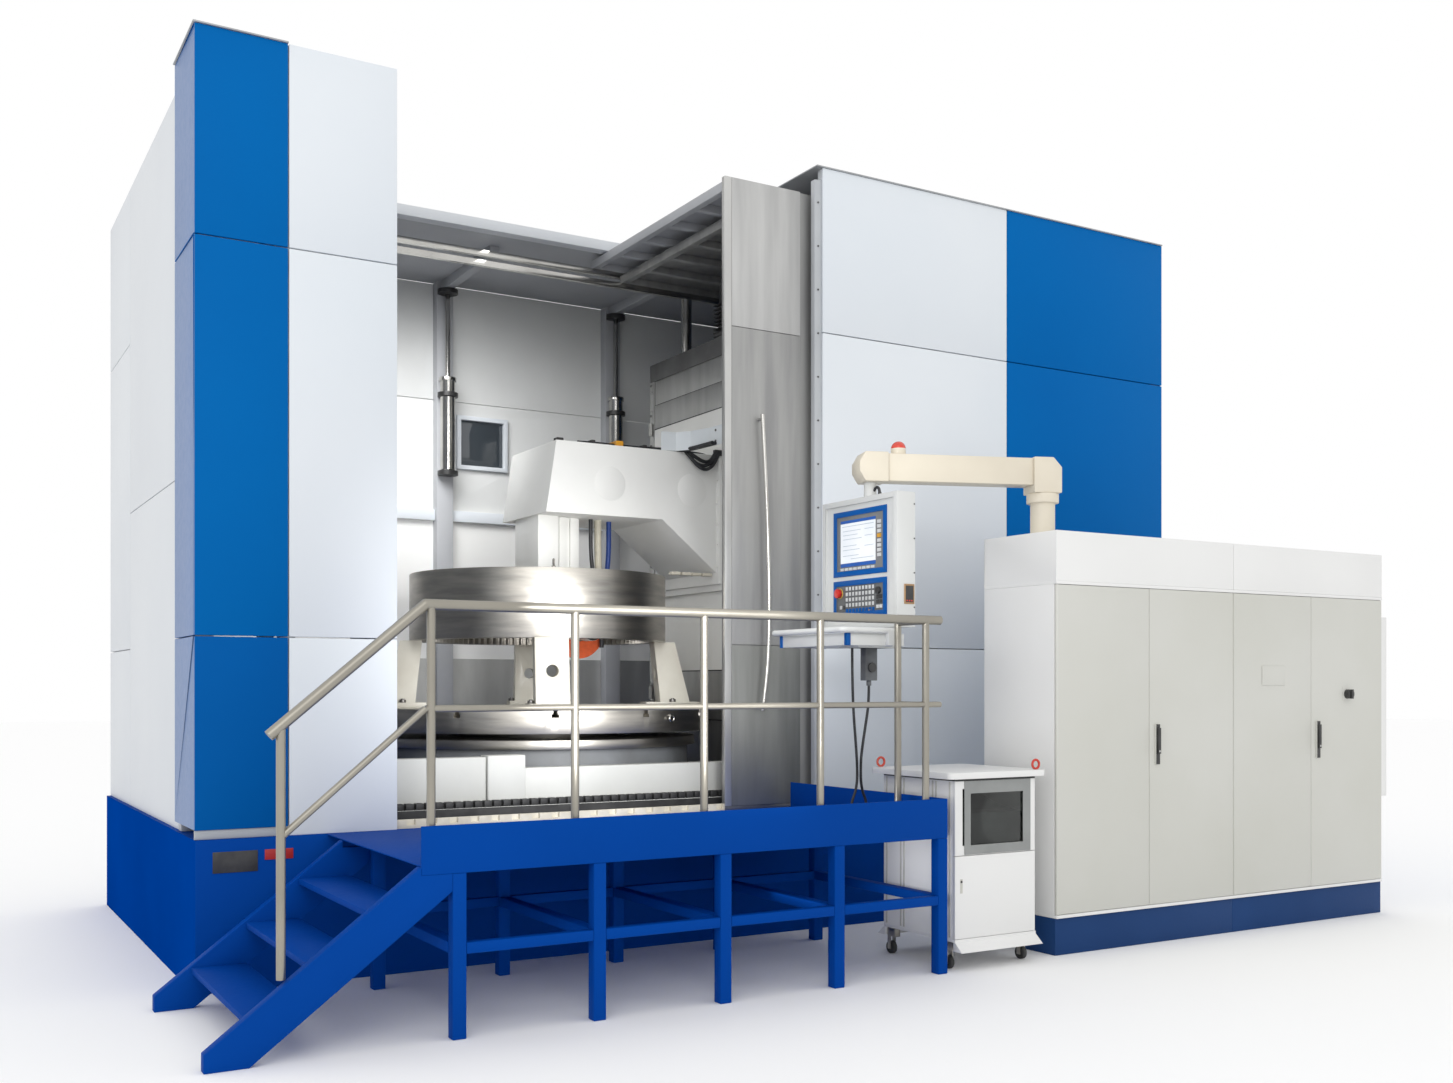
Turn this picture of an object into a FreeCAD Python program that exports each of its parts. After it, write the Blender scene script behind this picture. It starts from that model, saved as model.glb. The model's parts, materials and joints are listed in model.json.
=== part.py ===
import FreeCAD, Part
import math
import os
from FreeCAD import Vector

# Internal gear grinding machine with enclosure, platform, cabinet, pendant and cart.
# Millimetres, +Z up, origin on the floor under the rotary table's axis, front towards -Y.

# Shared clearances
overrun = 5.0
seam = 6.0
running = 0.05
slide_gap = 0.3
skin = 3.0

# Base, bed and levelling feet
base_left = -2580.0
base_right = 4610.0
base_back = 1955.0
base_height = 800.0
skirt = 12.0
bed_left = -1150.0
bed_right = 4250.0
bed_half_width = 1100.0
bed_rise = 100.0
bed_top = base_height + bed_rise
bed_wall = 120.0
bed_pockets = 4
front_aisle = 445.0
base_front = -bed_half_width - front_aisle
foot_height = 60.0
foot_radius = 70.0
foot_inset = 160.0
centre_support_radius = 150.0
feet_per_side = 5

# Heights of the machine, each from the piece that carries it
pedestal_recess = 60.0
pedestal_floor = bed_top + pedestal_recess
pedestal_height = 300.0
pedestal_top = bed_top + pedestal_height
cover_ring_height = 60.0
cover_ring_top = pedestal_top + cover_ring_height
table_gap = 43.0
table_thickness = 152.0
table_bottom = cover_ring_top + table_gap
table_top = table_bottom + table_thickness
pillar_height = 461.0
ring_bottom = table_top + pillar_height
wheel_lift = 84.0
wheel_z = ring_bottom + wheel_lift
fork_drop = 65.0
fork_bottom = wheel_z - fork_drop
post_lift = 230.0
post_bottom = wheel_z + post_lift
post_length = 560.0
arm_bottom = post_bottom + post_length
arm_height = 495.0
arm_top = arm_bottom + arm_height
carriage_drop = 490.0
carriage_bottom = arm_bottom - carriage_drop
flange_lift = 47.0
flange_bottom = carriage_bottom + flange_lift
arm_foot_lift = 80.0
arm_foot = flange_bottom + arm_foot_lift
carriage_head = 65.0
carriage_top = arm_top + carriage_head
saddle_height = 100.0
column_foot = bed_top + saddle_height
rail_lift = 40.0
rail_bottom = column_foot + rail_lift
column_head = 680.0
column_top = carriage_top + column_head
roof_clearance = 875.0
roof_under = column_top + roof_clearance
wall_rise = 45.0
wall_top = roof_under + wall_rise
tower_rise = 100.0
tower_top = wall_top + tower_rise
low_panel = 1065.0
low_seam = base_height + low_panel
high_panel = 1095.0
high_seam = tower_top - high_panel
leaf_clearance = 15.0
leaf_top = roof_under - leaf_clearance
leaf_step = 110.0
rear_leaf_top = leaf_top - leaf_step
front_roof_depth = 90.0
front_roof_bottom = leaf_top - front_roof_depth
rear_roof_depth = 80.0
rear_roof_bottom = rear_leaf_top - rear_roof_depth

# Pedestal, bearing and direct drive
pedestal_inset = 50.0
pedestal_radius = bed_half_width - pedestal_inset
bearing_seat = 640.0
bearing_height = 80.0
cover_ring_radius = pedestal_radius + pedestal_inset
stator_height = 105.0
stator_bore = 533.0
rotor_outer = 530.0
rotor_inner = 500.0
rotor_height = 90.0
rotor_lift = 20.0

# Rotary table
table_radius = 1200.0
hub_radius = 560.0
table_bore = 150.0
slot_count = 12
slot_width = 28.0
slot_neck = 30.0
slot_head_width = 48.0
slot_head_height = 22.0
slot_start = 300.0
slot_turn = -18.3

# Pillars, their bolts and the work ring
pillar_count = 4
pillar_turn = -108.3
pillar_width = 218.0
pillar_top_inner = 808.0
pillar_foot_inner = 858.0
pillar_top_outer = 957.0
pillar_foot_outer = 1075.0
pillar_hole = 40.0
pillar_hole_height = 245.0
foot_plate = 35.0
foot_plate_side = 45.0
foot_plate_inner = 745.0
foot_plate_outer = 1130.0
bolt_radius = 12.0
nut_radius = 22.0
nut_height = 20.0
stud_height = 62.0
ring_outer = 895.0
ring_height = 456.0
ring_teeth = 96
gear_module = 16.0
eye_count = 3
eye_turn = -106.7
eye_shank = 14.0
eye_ring = 22.0
eye_wire = 6.0

# Column, its cap and the vertical slide
table_clearance = 190.0
column_front = table_radius + table_clearance
column_depth = 810.0
column_back = column_front + column_depth
column_half_width = 700.0
column_wall = 60.0
cap_reach = 105.0
cap_overhang = 60.0
cap_front = column_front - cap_reach
cap_back = column_back + cap_overhang
cap_half_width = column_half_width + cap_overhang
cap_height = 140.0
way_height = 40.0
way_width = 70.0
way_offset = 520.0
saddle_reach = 100.0
saddle_tail = 600.0
way_tail = 500.0
saddle_front = column_front - saddle_reach
saddle_back = column_back + saddle_tail
saddle_half_width = column_half_width + cap_overhang
way_right = saddle_back + way_tail
rail_depth = 50.0
rail_width = 65.0
rail_offset = 450.0
screw_radius = 32.0
screw_channel = 95.0
screw_depth = 60.0
carriage_reach = 140.0
carriage_front = column_front - carriage_reach
carriage_plate = 74.0
carriage_half_width = 600.0
block_length = 200.0
block_side = 35.0
nut_half_width = 80.0
nut_housing_height = 200.0
cover_thickness = 4.0
cover_step = 4.3
cover_half_width = 680.0
cover_reach = 104.0
cover_front = column_front - cover_reach
upper_cover_height = 300.0
lower_cover_height = 585.0
strip_screw_pitch = 155.0
screw_head_radius = 11.0
screw_head_height = 8.0

# Arm and grinding head
arm_half_width = 395.0
arm_wall = 25.0
arm_left_bottom = -115.0
arm_left_top = -40.0
arm_kink = 780.0
arm_setback = 25.0
arm_right = carriage_front - arm_setback
flange_half_width = 430.0
arm_cover_radius = 118.0
arm_cover_thickness = 3.0
head_box_left = -95.0
head_box_right = 60.0
head_box_half_width = 210.0
head_box_height = 430.0
post_left = 60.0
post_right = 250.0
post_half_width = 135.0
guard_width = 28.0
guard_depth = 22.0
fork_gap = 25.0
fork_left = 130.0
fork_right = 360.0
wheel_x = 300.0
wheel_radius = 200.0
wheel_width = 32.0
flange_radius = 75.0
flange_width = 8.0
spindle_radius = 30.0
spindle_motor_radius = 78.0
spindle_motor_length = 120.0
nozzle_radius = 16.0
hose_radius = 14.0
hose_bend = 70.0
hose_runs = ((14.0, 340.0, -135.0), (26.0, 415.0, -95.0), (18.0, 520.0, -57.0))

# Cap fittings
motor_side = 190.0
motor_setback = 170.0
balance_setback = 40.0
motor_x = column_front + motor_setback
motor_y = -120.0
motor_height = 360.0
gearbox_side = 240.0
gearbox_height = 120.0
balance_x = column_front + balance_setback
balance_y = 420.0
balance_radius = 42.0
balance_height = 470.0
balance_flange = 70.0
balance_flange_height = 30.0

# Enclosure towers, walls and roof
tower_setback = 20.0
tower_depth = 595.0
tower_front = base_front + tower_setback
tower_back = tower_front + tower_depth
left_tower_left = -2580.0
left_tower_split = -2100.0
left_tower_right = -1505.0
right_tower_left = 1385.0
right_tower_split = 3005.0
tower_skirt = 50.0
panel = 20.0
post = 80.0
slim_post = 45.0
cap_plate = 10.0
cap_lip = 10.0
wall_left = -2555.0
wall_split_y = 960.0
wall_mid_seam = 2765.0
wall_rear_low_seam = 1850.0
wall_rear_high_seam = 3905.0
back_wall_front = 1905.0
back_wall_panel = 40.0
ledge_bottom = 2960.0
ledge_top = 3050.0
ledge_depth = 45.0
back_post_width = 135.0
back_post_depth = 100.0
back_post_lefts = (-120.0, 1400.0, 3000.0)
roof_front = 300.0
roof_sheet = 45.0
joist_depth = 75.0
beam_width = 100.0
rail_left_end = -2535.0
window_left = 75.0
window_right = 520.0
window_bottom = 3400.0
window_top = 3845.0
window_frame = 35.0
glass = 8.0
ram_bottom = 3360.0
ram_top = 4110.0
ram_radius = 60.0
ram_rod = 20.0
ram_collar = 30.0
ram_foot = 40.0

# Sliding door leaves and their roofs
leaf_width = 1600.0
leaf_left = 673.0
rear_leaf_left = 880.0
leaf_setback = 100.0
leaf_front = base_front + leaf_setback
leaf_thickness = 40.0
leaf_gap = 10.0
leaf_rise = 30.0
leaf_bottom = base_height + leaf_rise
leaf_edge = 52.0
leaf_recess_left = 1255.0
leaf_recess_right = 1365.0
leaf_seam_rise = 5.0
leaf_seam_drop = 25.0
leaf_low_seam = low_seam + leaf_seam_rise
leaf_high_seam = high_seam - leaf_seam_drop
roof_rib = 50.0
roof_plate = 12.0
roof_ribs = 6
front_roof_back = 560.0
rear_roof_back = 480.0
guide_width = 40.0
guide_height = 45.0
track_width = 12.0
handle_low = 1440.0
handle_mid = 2100.0
handle_high = 3370.0
handle_end_x = 930.0
handle_mid_x = 985.0
handle_radius = 14.0
handle_stand = 46.0
sill_setback = 45.0
sill_width = 35.0
sill_front = base_front + sill_setback
sill_back = sill_front + sill_width
sill_height = 50.0
sill_top = base_height + sill_height
sill_right = 640.0
bed_cover_reach = 130.0
bed_cover_front = -bed_half_width - bed_cover_reach
bed_cover_heights = (375.0, 383.0, 302.0)
bed_cover_splits = (-1500.0, -855.0, -608.0, 1100.0)
chain_height = 40.0
chain_gap = 10.0
chain_width = 50.0
chain_front = bed_cover_front - chain_gap - chain_width
chain_back = bed_cover_front - chain_gap

# Platform, stair and handrail
deck_left = -1898.0
deck_right = 1123.0
deck_front = -3115.0
deck_plate = 8.0
deck_joint = 6.0
board_drop = 45.0
board_rise = 175.0
board_bottom = base_height - board_drop
board_top = base_height + board_rise
board_thickness = 12.0
leg_width = 66.0
leg_first = -1752.0
leg_count = 5
leg_pitch = (deck_right - leg_width - leg_first) / (leg_count - 1)
leg_back = -1900.0
frame_depth = board_drop - deck_plate
frame_width = 50.0
brace_bottom = 385.0
brace_top = 437.0
stair_width = 1270.0
stringer_width = 60.0
stair_toe = -2823.0
stair_toe_height = 78.0
stair_heel = -2640.0
tread_count = 3
tread_rise = (base_height + skirt) / (tread_count + 1)
tread_depth = 262.0
tread_left = -2650.0
tread_plate = 6.0
tread_lip = 30.0
rail_y = -3065.0
rail_height = 1170.0
mid_rail_height = 700.0
rail_top = base_height + rail_height
rail_mid = base_height + mid_rail_height
rail_radius = 25.0
mid_rail_radius = 16.0
post_radius = 20.0
post_first = -1837.0
post_pitch = 711.0
post_count = 5
rail_left_reach = 26.0
rail_right_reach = 102.0
return_y = -2815.0
stair_post_x = -2500.0
stair_rail_end_x = -2550.0
stair_rail_end_z = 1390.0
stair_mid_end_z = 955.0
base_plate_radius = 45.0
base_plate_height = 6.0

# Electrical cabinet
cabinet_left = 2000.0
cabinet_front = -3060.0
cabinet_back = -2420.0
cabinet_door_width = 782.0
cabinet_doors = 4
plinth_height = 220.0
plinth_inset = 12.0
cabinet_door_top = 2230.0
cabinet_top = 2530.0
door_thickness = 22.0
door_gap = 3.0
cabinet_wall = 20.0
hinge_radius = 5.0
hinge_length = 16.0
lock_height = 1240.0
lock_length = 250.0
lock_width = 34.0
lock_depth = 14.0
lock_inset = 62.0
handle_lever = 150.0
switch_height = 1548.0
switch_radius = 32.0
switch_plate = 90.0
switch_depth = 36.0
switch_x_from_hinge = 400.0
cooler_bottom = 810.0
cooler_top = 2100.0
cooler_depth = 230.0
cooler_width = 400.0
board_panel = 6.0
board_gap = 140.0
drive_width = 120.0
drive_depth = 190.0
drive_height = 380.0
drive_count = 5

# Pendant
pendant_x = 2169.0
pendant_y = -2765.0
column_tube = 75.0
column_tube_top = 2728.0
collar_radius = 98.0
collar_height = 58.0
beam_low = 2832.0
beam_high = 2998.0
beam_half_width = 72.0
elbow_half = 90.0
neck_x = 1130.0
neck_y = -2387.0
neck_radius = 38.0
head_front = 1055.0
head_depth = 120.0
head_half_width = 375.0
head_bottom = 1945.0
head_top = 2730.0
head_frame = 32.0
head_frame_step = 14.0
screen_bottom = 2268.0
screen_top = 2663.0
screen_half_width = 265.0
key_bottom = 2018.0
key_top = 2242.0
bezel_step = 8.0
key_rows = 5
key_columns = 9
key_size = 22.0
key_pitch = 33.0
key_height = 4.0
button_radius = 28.0
button_height = 26.0
button_travel = 6.0
button_y = -2185.0
button_z = 2167.0
knob_radius = 21.0
knob_height = 18.0
knob_y = -2580.0
tray_reach = 330.0
tray_half_width = 345.0
tray_top = 1905.0
tray_depth = 70.0
tray_wall = 10.0
tray_handle_radius = 17.0
hook_plate = 10.0
remote_length = 190.0
remote_width = 85.0
remote_depth = 50.0
wheel_knob_radius = 28.0
wheel_knob_height = 14.0
beacon_radius = 45.0
beacon_height = 62.0

# Cart
cart_left = 1193.0
cart_right = 1800.0
cart_front = -3095.0
cart_back = -2440.0
cart_floor = 160.0
cart_lid_bottom = 1080.0
cart_lid_top = 1115.0
cart_lid_reach = 60.0
cart_wall = 16.0
cart_split = 645.0
cart_door_thickness = 20.0
cart_window_edge = 55.0
cart_skirt_reach = 60.0
cart_skirt_height = 50.0
castor_wheel_radius = 38.0
castor_wheel_width = 28.0
castor_trail = 28.0
castor_inset = 30.0
castor_end_inset = 65.0
castor_fork = 6.0
castor_crown = 48.0
cart_eye_radius = 26.0
cart_eye_wire = 7.0
cart_shelf_height = 660.0

# Bare plates on the base and on a cabinet door
plate_thickness = 4.0
plate_left = 85.0
plate_width = 230.0
plate_height = 130.0

# Cord of the hand unit
cord_radius = 8.0
cord_spread = 120.0
gland_length = 30.0
cord_route = ((0.0, 0.0, 1510.0), (-16.0, 4.0, 1400.0), (-36.0, 5.0, 1290.0), (-54.0, 3.0, 1190.0),
              (-59.0, 0.0, 1115.0), (-57.0, 2.0, 1050.0), (-44.0, 4.0, 988.0), (-18.0, 5.0, 935.0),
              (-12.0, 4.0, 880.0), (-42.0, 2.0, 838.0), (-98.0, 0.0, 838.0), (-128.0, -2.0, 880.0),
              (-124.0, -3.0, 935.0), (-99.0, -4.0, 988.0), (-86.0, -2.0, 1050.0), (-84.0, 0.0, 1115.0),
              (-86.0, 2.0, 1190.0), (-94.0, 3.0, 1290.0), (-106.0, 2.0, 1410.0), (-113.0, 3.0, 1530.0),
              (-118.0, 1.0, 1660.0), (-120.0, 0.0, 1750.0))

nodes = {}


def save(name, *pieces):
    nodes.setdefault(name, []).extend(pieces)


def box(x0, x1, y0, y1, z0, z1):
    return Part.makeBox(x1 - x0, y1 - y0, z1 - z0, Vector(x0, y0, z0))


def rod(radius, start, end):
    axis = Vector(*end) - Vector(*start)
    return Part.makeCylinder(radius, axis.Length, Vector(*start), axis)


def ring(outer, inner, x, y, z0, z1):
    return rod(outer, (x, y, z0), (x, y, z1)).cut(rod(inner, (x, y, z0 - overrun), (x, y, z1 + overrun)))


def prism(points, depth):
    corners = [Vector(*point) for point in points]
    corners.append(corners[0])
    return Part.Face(Part.makePolygon(corners)).extrude(Vector(*depth))


def turned(shape, angle, x=0, y=0):
    copy = shape.copy()
    copy.rotate(Vector(x, y, 0), Vector(0, 0, 1), angle)
    return copy


def fused(*pieces):
    return pieces[0].fuse(list(pieces[1:])).removeSplitter()


def bent_tube(name, radius, points, least_share=0.45):
    # Straight runs joined by arcs that are as large as each pair of runs allows.
    spots = [Vector(*point) for point in points]
    edges = []
    here = spots[0]
    radii = []
    length = 0
    for before, at, after in zip(spots, spots[1:], spots[2:]):
        into = at - before
        out = after - at
        half = into.getAngle(out) / 2
        reach = least_share * min(into.Length, out.Length)
        radii.append(round(reach / math.tan(half)))
        start = at - into.normalize() * reach
        end = at + out.normalize() * reach
        inward = (out - into).normalize()
        middle = at + inward * (reach / math.tan(half) * (1 / math.cos(half) - 1))
        edges.append(Part.LineSegment(here, start).toShape())
        edges.append(Part.Arc(start, middle, end).toShape())
        here = end
    edges.append(Part.LineSegment(here, spots[-1]).toShape())
    wire = Part.Wire(edges)
    length = wire.Length
    profile = Part.Wire(Part.makeCircle(radius, spots[0], spots[1] - spots[0]))
    tube = wire.makePipeShell([profile], True, False)
    print(name, "arc radii", radii, "volume share", round(tube.Volume / (math.pi * radius ** 2 * length), 3))
    return tube


# Welded base tray round the bed
def base_frame():
    inner_left = base_left + skirt
    inner_right = base_right - skirt
    inner_front = base_front + skirt
    inner_back = base_back - skirt
    under = base_height - skirt
    bed_room = slide_gap
    front = box(base_left, base_right, base_front, inner_front, 0, base_height)
    back = box(base_left, base_right, inner_back, base_back, 0, base_height)
    left = box(base_left, inner_left, inner_front, inner_back, 0, base_height)
    right = box(inner_right, base_right, inner_front, inner_back, 0, base_height)
    floor_front = box(inner_left, inner_right, inner_front, -bed_half_width - bed_room, under, base_height)
    floor_back = box(inner_left, inner_right, bed_half_width + bed_room, inner_back, under, base_height)
    side_front = -bed_half_width - bed_room
    side_back = bed_half_width + bed_room
    floor_left = box(inner_left, bed_left - bed_room, side_front, side_back, under, base_height)
    floor_right = box(bed_right + bed_room, inner_right, side_front, side_back, under, base_height)
    save("base_frame", front, back, left, right, floor_front, floor_back, floor_left, floor_right)


def machine_bed():
    body = box(bed_left, bed_right, -bed_half_width, bed_half_width, foot_height, bed_top)
    pitch = (bed_right - bed_left - bed_wall) / bed_pockets
    for index in range(bed_pockets):
        left = bed_left + bed_wall + index * pitch
        inside = bed_half_width - bed_wall
        right = left + pitch - bed_wall
        body = body.cut(box(left, right, -inside, inside, foot_height - overrun, bed_top - bed_wall))
    centre_support = rod(centre_support_radius, (0, 0, 0), (0, 0, bed_top - bed_wall))
    save("machine_bed", body, centre_support)
    feet = []
    step = (bed_right - bed_left - 2 * foot_inset) / (feet_per_side - 1)
    across = bed_half_width - bed_wall / 2
    for index in range(feet_per_side):
        x = bed_left + foot_inset + index * step
        for y in (-across, across):
            feet.append(rod(foot_radius, (x, y, 0), (x, y, foot_height)))
    save("machine_bed", *feet)


def table_pedestal():
    body = rod(pedestal_radius, (0, 0, bed_top), (0, 0, pedestal_top))
    body = body.cut(rod(bearing_seat, (0, 0, pedestal_floor), (0, 0, pedestal_top + overrun)))
    save("table_base", body)
    bearing_bore = hub_radius + running
    save("table_base", ring(bearing_seat, bearing_bore, 0, 0, pedestal_top - bearing_height, pedestal_top))
    save("table_base", ring(cover_ring_radius, bearing_seat, 0, 0, pedestal_top, cover_ring_top))
    save("table_base", ring(bearing_seat, stator_bore, 0, 0, pedestal_floor, pedestal_floor + stator_height))


def t_slot(angle):
    neck = box(slot_start, table_radius + overrun, -slot_width / 2, slot_width / 2,
               table_top - slot_neck - slot_head_height, table_top + overrun)
    head = box(slot_start, table_radius + overrun, -slot_head_width / 2, slot_head_width / 2,
               table_top - slot_neck - slot_head_height, table_top - slot_neck)
    return turned(neck.fuse(head), angle)


def rotary_table():
    plate = rod(table_radius, (0, 0, table_bottom), (0, 0, table_top))
    rotor_bottom = pedestal_floor + rotor_lift
    hub_bottom = pedestal_top - bearing_height
    hub = rod(hub_radius, (0, 0, hub_bottom), (0, 0, table_bottom))
    spigot = rod(rotor_inner, (0, 0, rotor_bottom), (0, 0, hub_bottom))
    body = fused(plate, hub, spigot)
    body = body.cut(rod(table_bore, (0, 0, rotor_bottom - overrun), (0, 0, table_top + overrun)))
    for index in range(slot_count):
        body = body.cut(t_slot(slot_turn + index * math.degrees(2 * math.pi) / slot_count))
    save("rotary_table", body)
    save("rotary_table", ring(rotor_outer, rotor_inner, 0, 0, rotor_bottom, rotor_bottom + rotor_height))


def pillar():
    half = pillar_width / 2
    upright = prism([(pillar_foot_inner, -half, table_top), (pillar_foot_outer, -half, table_top),
                     (pillar_top_outer, -half, ring_bottom), (pillar_top_inner, -half, ring_bottom)],
                    (0, pillar_width, 0))
    reach = half + foot_plate_side
    foot = box(foot_plate_inner, foot_plate_outer, -reach, reach, table_top, table_top + foot_plate)
    height = table_top + pillar_hole_height
    hole = rod(pillar_hole, (pillar_top_inner - overrun, 0, height),
               (pillar_foot_outer + overrun, 0, height))
    body = fused(upright, foot).cut(hole)
    for x, y in bolt_places():
        body = body.cut(rod(bolt_radius + running, (x, y, table_top - overrun), (x, y, ring_bottom)))
    return body


def bolt_places():
    middle = (foot_plate_inner + foot_plate_outer) / 2
    across = pillar_width / 2 + foot_plate_side / 2
    return [(middle, -across), (middle, across)]


def fixture():
    full = math.degrees(2 * math.pi)
    pillars = []
    bolts = []
    for index in range(pillar_count):
        angle = pillar_turn + index * full / pillar_count
        pillars.append(turned(pillar(), angle))
        for x, y in bolt_places():
            stud = rod(bolt_radius, (x, y, table_top), (x, y, table_top + stud_height))
            nut_floor = table_top + foot_plate
            nut = rod(nut_radius, (x, y, nut_floor), (x, y, nut_floor + nut_height))
            bolts.append(turned(fused(stud, nut), angle))
    save("fixture_pillars", *pillars)
    save("fixture_pillars", *bolts)


def work_ring():
    # Straight-flanked internal teeth: tip, flank, root, flank for each tooth.
    pitch_radius = gear_module * ring_teeth / 2
    tip = pitch_radius - gear_module
    root = pitch_radius + 1.25 * gear_module
    step = 2 * math.pi / ring_teeth
    tooth_shares = ((0.0, root), (0.28, root), (0.42, tip), (0.58, tip), (0.72, root))
    points = []
    for index in range(ring_teeth):
        for share, radius in tooth_shares[1:]:
            angle = (index + share) * step
            points.append((radius * math.cos(angle), radius * math.sin(angle), ring_bottom - overrun))
    bore = prism(points, (0, 0, ring_height + 2 * overrun))
    top = ring_bottom + ring_height
    save("work_ring", rod(ring_outer, (0, 0, ring_bottom), (0, 0, top)).cut(bore))
    eyes = []
    reach = (ring_outer + root) / 2
    for index in range(eye_count):
        shank = rod(eye_shank, (reach, 0, top), (reach, 0, top + 2 * eye_wire))
        loop = Part.makeTorus(eye_ring, eye_wire, Vector(reach, 0, top + 2 * eye_wire + eye_ring),
                              Vector(0, 1, 0))
        angle = eye_turn + index * math.degrees(2 * math.pi) / eye_count
        eyes.append(turned(fused(shank, loop), angle))
    save("work_ring", *eyes)


def column():
    body = box(column_front, column_back, -column_half_width, column_half_width, column_foot, column_top)
    inside = column_half_width - column_wall
    body = body.cut(box(column_front + 2 * column_wall, column_back - column_wall, -inside, inside,
                        column_foot - overrun, column_top - column_wall))
    body = body.cut(box(column_front - overrun, column_front + column_wall, -screw_channel, screw_channel,
                        column_foot - overrun, column_top + overrun))
    saddle = box(saddle_front, saddle_back, -saddle_half_width, saddle_half_width,
                 bed_top + way_height + running, column_foot)
    save("column_casting", body)
    save("column_casting", saddle)
    save("column_cap", box(cap_front, cap_back, -cap_half_width, cap_half_width, column_top,
                           column_top + cap_height))
    ways = []
    for y in (-way_offset, way_offset):
        ways.append(box(saddle_front, way_right, y - way_width / 2, y + way_width / 2, bed_top,
                        bed_top + way_height))
    save("machine_bed", *ways)
    rails = []
    for y in (-rail_offset, rail_offset):
        rails.append(box(column_front - rail_depth, column_front, y - rail_width / 2, y + rail_width / 2,
                         rail_bottom, column_top))
    save("column_casting", *rails)
    screw_x = column_front
    save("column_casting", rod(screw_radius, (screw_x, 0, column_foot), (screw_x, 0, column_top)))
    covers()
    strips()


def cover(layer, bottom, height):
    x = cover_front + layer * cover_step
    return box(x, x + cover_thickness, -cover_half_width, cover_half_width, bottom, bottom + height)


def covers():
    upper_room = column_top - carriage_top
    upper_step = (upper_room - upper_cover_height) / 2
    save("column_covers", cover(2, column_top - upper_cover_height, upper_cover_height))
    save("upper_cover_middle", cover(1, column_top - upper_cover_height - upper_step, upper_cover_height))
    save("carriage", cover(0, carriage_top, upper_cover_height))
    lower_room = carriage_bottom - column_foot
    lower_step = (lower_room - lower_cover_height) / 2
    save("column_covers", cover(2, column_foot, lower_cover_height))
    save("lower_cover_middle", cover(1, column_foot + lower_step, lower_cover_height))
    save("carriage", cover(0, carriage_bottom - lower_cover_height, lower_cover_height))


def strips():
    # Edge strips beside the covers, with a row of cap screws down each one.
    pieces = []
    for side in (-1, 1):
        inner = side * (cover_half_width + seam)
        outer = side * (cap_half_width)
        low = min(inner, outer)
        high = max(inner, outer)
        strip = box(cap_front, column_front, low, high, column_foot, column_top)
        screw = column_foot + strip_screw_pitch
        while screw < column_top - strip_screw_pitch / 2:
            y = (low + high) / 2
            strip = strip.fuse(rod(screw_head_radius, (cap_front - screw_head_height, y, screw),
                                   (cap_front, y, screw)))
            screw += strip_screw_pitch
        pieces.append(strip)
    save("column_covers", *pieces)


def carriage():
    back = carriage_front + carriage_plate
    body = box(carriage_front, back, -carriage_half_width, carriage_half_width, carriage_bottom, carriage_top)
    rail_front = column_front - rail_depth
    for y in (-rail_offset, rail_offset):
        half = rail_width / 2 + block_side
        for bottom in (carriage_bottom, carriage_top - block_length):
            block = box(back, column_front - slide_gap * 10, y - half, y + half, bottom,
                        bottom + block_length)
            groove = box(rail_front - running, column_front, y - rail_width / 2 - running,
                         y + rail_width / 2 + running, bottom - overrun, bottom + block_length + overrun)
            body = body.fuse(block.cut(groove))
    middle = (carriage_bottom + carriage_top - nut_housing_height) / 2
    nut = box(back, column_front + screw_depth / 2 + screw_radius / 2, -nut_half_width, nut_half_width,
              middle, middle + nut_housing_height)
    nut = nut.cut(rod(screw_radius + running, (column_front, 0, middle - overrun),
                      (column_front, 0, middle + nut_housing_height + overrun)))
    save("carriage", body.fuse(nut).removeSplitter())


def grinding_arm():
    half = arm_half_width
    outline = [(arm_left_bottom, -half, arm_bottom), (arm_kink, -half, arm_bottom),
               (arm_right, -half, arm_foot), (arm_right, -half, arm_top), (arm_left_top, -half, arm_top)]
    body = prism(outline, (0, 2 * half, 0))
    inside = half - arm_wall
    slope = (arm_bottom - arm_foot) / (arm_right - arm_kink)
    inner = [(arm_left_bottom + 2 * arm_wall, -inside, arm_bottom + arm_wall),
             (arm_kink + arm_wall * slope / 2, -inside, arm_bottom + arm_wall),
             (arm_right + overrun, -inside, arm_foot + arm_wall * 1.5),
             (arm_right + overrun, -inside, arm_top - arm_wall),
             (arm_left_top + 2 * arm_wall, -inside, arm_top - arm_wall)]
    body = body.cut(prism(inner, (0, 2 * inside, 0)))
    flange = box(arm_right, carriage_front, -flange_half_width, flange_half_width, flange_bottom, arm_top)
    save("grinding_arm", body, flange)
    covers_at = ((arm_kink * 0.47, arm_bottom + arm_wall * 9), (arm_kink * 1.31, arm_bottom + arm_wall * 9))
    discs = []
    for x, z in covers_at:
        discs.append(rod(arm_cover_radius, (x, -half - arm_cover_thickness, z), (x, -half, z)))
    save("grinding_arm", *discs)
    bolts = []
    z = flange_bottom + strip_screw_pitch * 0.8
    while z < arm_top:
        for side in (-1, 1):
            y = side * (flange_half_width + half) / 2
            bolts.append(rod(screw_head_radius, (arm_right - screw_head_height, y, z), (arm_right, y, z)))
        z += strip_screw_pitch
    save("grinding_arm", *bolts)


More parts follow.
